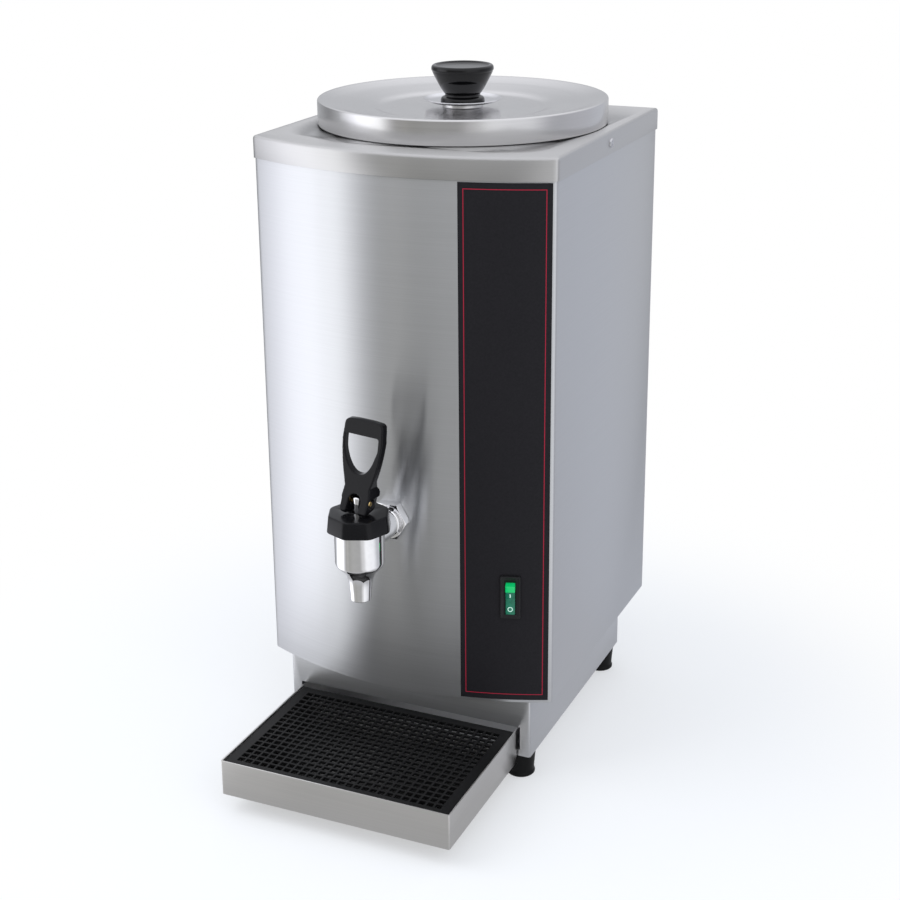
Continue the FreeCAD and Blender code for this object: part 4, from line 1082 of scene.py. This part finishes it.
def rocker_painted_glow(name):
    shader, place = start(name)
    # Painted highlight: above this height the green is lighter and gives off light, standing in for the
    # light that the raised end catches.
    painted_glow = between(axes(place)[2], 0, 1, (switch_z + 5.3) * MM, (switch_z + 6.0) * MM)
    spots = noise(place, 260.0)
    plain_green = blend(between(spots, 0, 1), (0.004, 0.10, 0.055), (0.01, 0.18, 0.10))
    dress(shader, {
        "Base Color": blend(painted_glow, plain_green, (0.005, 0.33, 0.09)), "Emission Strength": 0.6,
        "Emission Color": blend(painted_glow, (0.0, 0.012, 0.006), (0.0, 0.40, 0.11)),
        "Roughness": between(spots, 0.14, 0.24)})


film("overlay_film")
rocker_painted_glow("rocker_plastic")
moulded("mark_print", (0.60, 0.86, 0.74), 0.4)

# %% Put every finish on its piece
def coat(piece, finish_name):
    piece.data.materials.clear()
    piece.data.materials.append(finishes[finish_name])


for part in frame["record"]["subparts"]:
    coat(nodes[part["node"]], part["material_slot"])
for piece, slot in finished:
    coat(piece, "mark_print" if piece.name == "switch_marks" else slot)
print("finishes:", len(finishes))

# %% [markdown]
# ## Floor, light and camera
# A product photograph has a white sweep and broad soft lights. Here the floor and the world are white
# for the camera. What the steel mirrors is a studio in broad bands: a bright wall at the left, a grey
# room in front and at the right, and a pale ceiling. The same bands are on the world and on the floor's
# reflection, because steel walls seen from above mirror mostly the floor. So near the machine that a
# direction from its middle says little, the floor mirrors as a plain grey instead.

# %% Build the studio
BRIGHTEST = 1.75


def studio(way, ceiling=True):
    """The brightness of the studio by direction: bands round the machine and a pale ceiling."""
    x, y, z = axes(way)
    turn = sum_of("ARCTAN2", x, sum_of("MULTIPLY", y, -1.0))
    share = sum_of("ADD", sum_of("DIVIDE", turn, 2 * pi), 0.5)
    bands = add("ValToRGB", {0: share})
    stops = [
        (-180, (0.58, 0.59, 0.62)), (-150, (0.56, 0.57, 0.60)), (-127, (0.43, 0.44, 0.46)),
        (-105, (0.31, 0.315, 0.33)), (-90, (0.46, 0.47, 0.49)), (-80, (1.02, 1.03, 1.09)),
        (-73, (1.32, 1.33, 1.42)), (-64, (1.64, 1.65, 1.74)), (-54, (1.68, 1.69, 1.76)),
        (-49.5, (1.46, 1.47, 1.51)), (-47, (1.56, 1.57, 1.61)), (-42, (1.34, 1.35, 1.38)),
        (-39, (0.98, 0.98, 1.01)), (-37, (0.84, 0.84, 0.86)), (-33.5, (0.54, 0.54, 0.55)),
        (-28, (0.39, 0.39, 0.38)), (-22, (0.44, 0.435, 0.42)), (-16, (0.37, 0.37, 0.36)),
        (0, (0.41, 0.41, 0.405)), (20, (0.40, 0.40, 0.40)), (32, (0.66, 0.66, 0.67)),
        (46, (0.98, 0.99, 1.02)), (72, (0.92, 0.93, 0.97)), (100, (0.52, 0.53, 0.57)),
        (128, (0.57, 0.58, 0.63)), (156, (0.61, 0.63, 0.69)), (180, (0.58, 0.59, 0.62))]
    ramp = bands.color_ramp
    ramp.interpolation = "EASE"
    while len(ramp.elements) > 1:
        ramp.elements.remove(ramp.elements[-1])
    for index, (angle, colour) in enumerate(stops):
        place = (angle + 180) / 360
        stop = ramp.elements[0] if index == 0 else ramp.elements.new(place)
        stop.position = place
        stop.color = (*[c / BRIGHTEST for c in colour], 1)
    bright = vector_of("MULTIPLY", bands.outputs[0], (BRIGHTEST,) * 3)
    if not ceiling:
        return bright
    return blend(between(z, 0.0, 1.0, 0.22, 0.60), bright, (1.08, 1.09, 1.14))


def lamp_of(kind, colour, strength=1.0):
    """A shader that gives off light of one colour."""
    return add(kind, {"Color": colour, "Strength": strength}).outputs[0]


def either(share, first, second):
    return add("MixShader", {0: share, 1: first, 2: second}).outputs[0]


world = bpy.data.worlds.new("studio")
bpy.context.scene.world = world
world.use_nodes = True
tree = world.node_tree
tree.nodes.clear()
rays = add("LightPath")
way = add("TexCoord").outputs["Generated"]
room = lamp_of("Background", studio(way))
fill = lamp_of("Background", (0.95, 0.97, 1.0, 1), 0.86)
white = lamp_of("Background", (1, 1, 1, 1))
seen = either(rays.outputs["Is Glossy Ray"], fill, room)
seen = either(rays.outputs["Is Camera Ray"], seen, white)
tree.links.new(seen, add("OutputWorld").inputs[0])

# %% Lay the floor
rest()
bpy.ops.mesh.primitive_plane_add(size=12, location=(0, 0, 0))
floor = bpy.context.object
floor.name = "floor"
floor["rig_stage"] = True
shader, place = start("floor_white")
rays = add("LightPath")
dress(shader, {"Base Color": (0.87, 0.91, 0.97, 1), "Roughness": 0.9, "Specular IOR Level": 0.0})
reach = vector_of("LENGTH", place, out="Value")


def fades(low, high, how):
    """0 up to one distance from the machine's middle and 1 beyond another."""
    ends = {"Value": reach, "From Min": low, "From Max": high}
    return add("MapRange", ends, interpolation_type=how).outputs[0]


beside = between(axes(place)[1], 0.0, 1.0, -0.06, 0.05)
close = blend(beside, (0.46, 0.465, 0.485), (0.58, 0.59, 0.63))
bands = blend(fades(0.17, 0.34, "SMOOTHSTEP"), close, studio(place, False))
mirror = lamp_of("Emission", bands)
paper = lamp_of("Emission", (1, 1, 1, 1))
far = sum_of("MULTIPLY_ADD", fades(0.22, 0.55, "SMOOTHERSTEP"), 0.52, 0.48)
share = sum_of("MULTIPLY", far, rays.outputs["Is Camera Ray"])
near = either(share, shader.outputs[0], paper)
output = [n for n in tree.nodes if n.type == "OUTPUT_MATERIAL"][0]
tree.links.new(either(rays.outputs["Is Glossy Ray"], near, mirror), output.inputs[0])
coat(floor, "floor_white")

# %% Hang the lamps
def lamp(name, place, aim, size, power, colour):
    """A soft square lamp that points at a place and stays out of the steel's reflections."""
    rest()
    bpy.ops.object.light_add(type="AREA", location=place)
    made = bpy.context.object
    made.name = name
    made.data.shape = "SQUARE"
    made.data.size = size
    made.data.energy = power
    made.data.color = colour
    made.rotation_euler = (Vector(aim) - Vector(place)).to_track_quat("-Z", "Y").to_euler()
    made.visible_glossy = False


lamp("key", (-1.3, -0.9, 1.9), (0, 0, 0.2), 1.8, 20, (1.0, 0.985, 0.96))
lamp("fill", (1.5, -1.3, 1.4), (0, 0, 0.2), 1.6, 12, (0.96, 0.98, 1.0))

# %% Set the camera
azimuth, elevation, roll = radians(24.0941), radians(18.2644), radians(-0.5183)
back = Vector((sin(azimuth) * cos(elevation), -cos(azimuth) * cos(elevation), sin(elevation)))
level_right = Vector((cos(azimuth), sin(azimuth), 0))
level_up = back.cross(level_right)
right = level_right * cos(roll) + level_up * sin(roll)
up = -level_right * sin(roll) + level_up * cos(roll)
place = Vector((0.5122, -1.10871, 0.70215))
rest()
bpy.ops.object.camera_add()
camera = bpy.context.object
camera.name = "camera"
camera.matrix_world = Matrix([(right[i], up[i], back[i], place[i]) for i in range(3)] + [(0, 0, 0, 1)])
camera.data.sensor_width = 36.0
camera.data.lens = 67.2691
camera.data.shift_y = -0.08
camera.data.clip_start, camera.data.clip_end = 0.05, 50.0
bpy.context.scene.camera = camera
bpy.context.scene.view_settings.view_transform = "Standard"

# %% Print both boxes
dressed_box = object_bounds()
for box_name, box in (("solids", solid_box), ("dressed", dressed_box)):
    print(box_name, [[round(c / MM, 1) for c in corner] for corner in box])
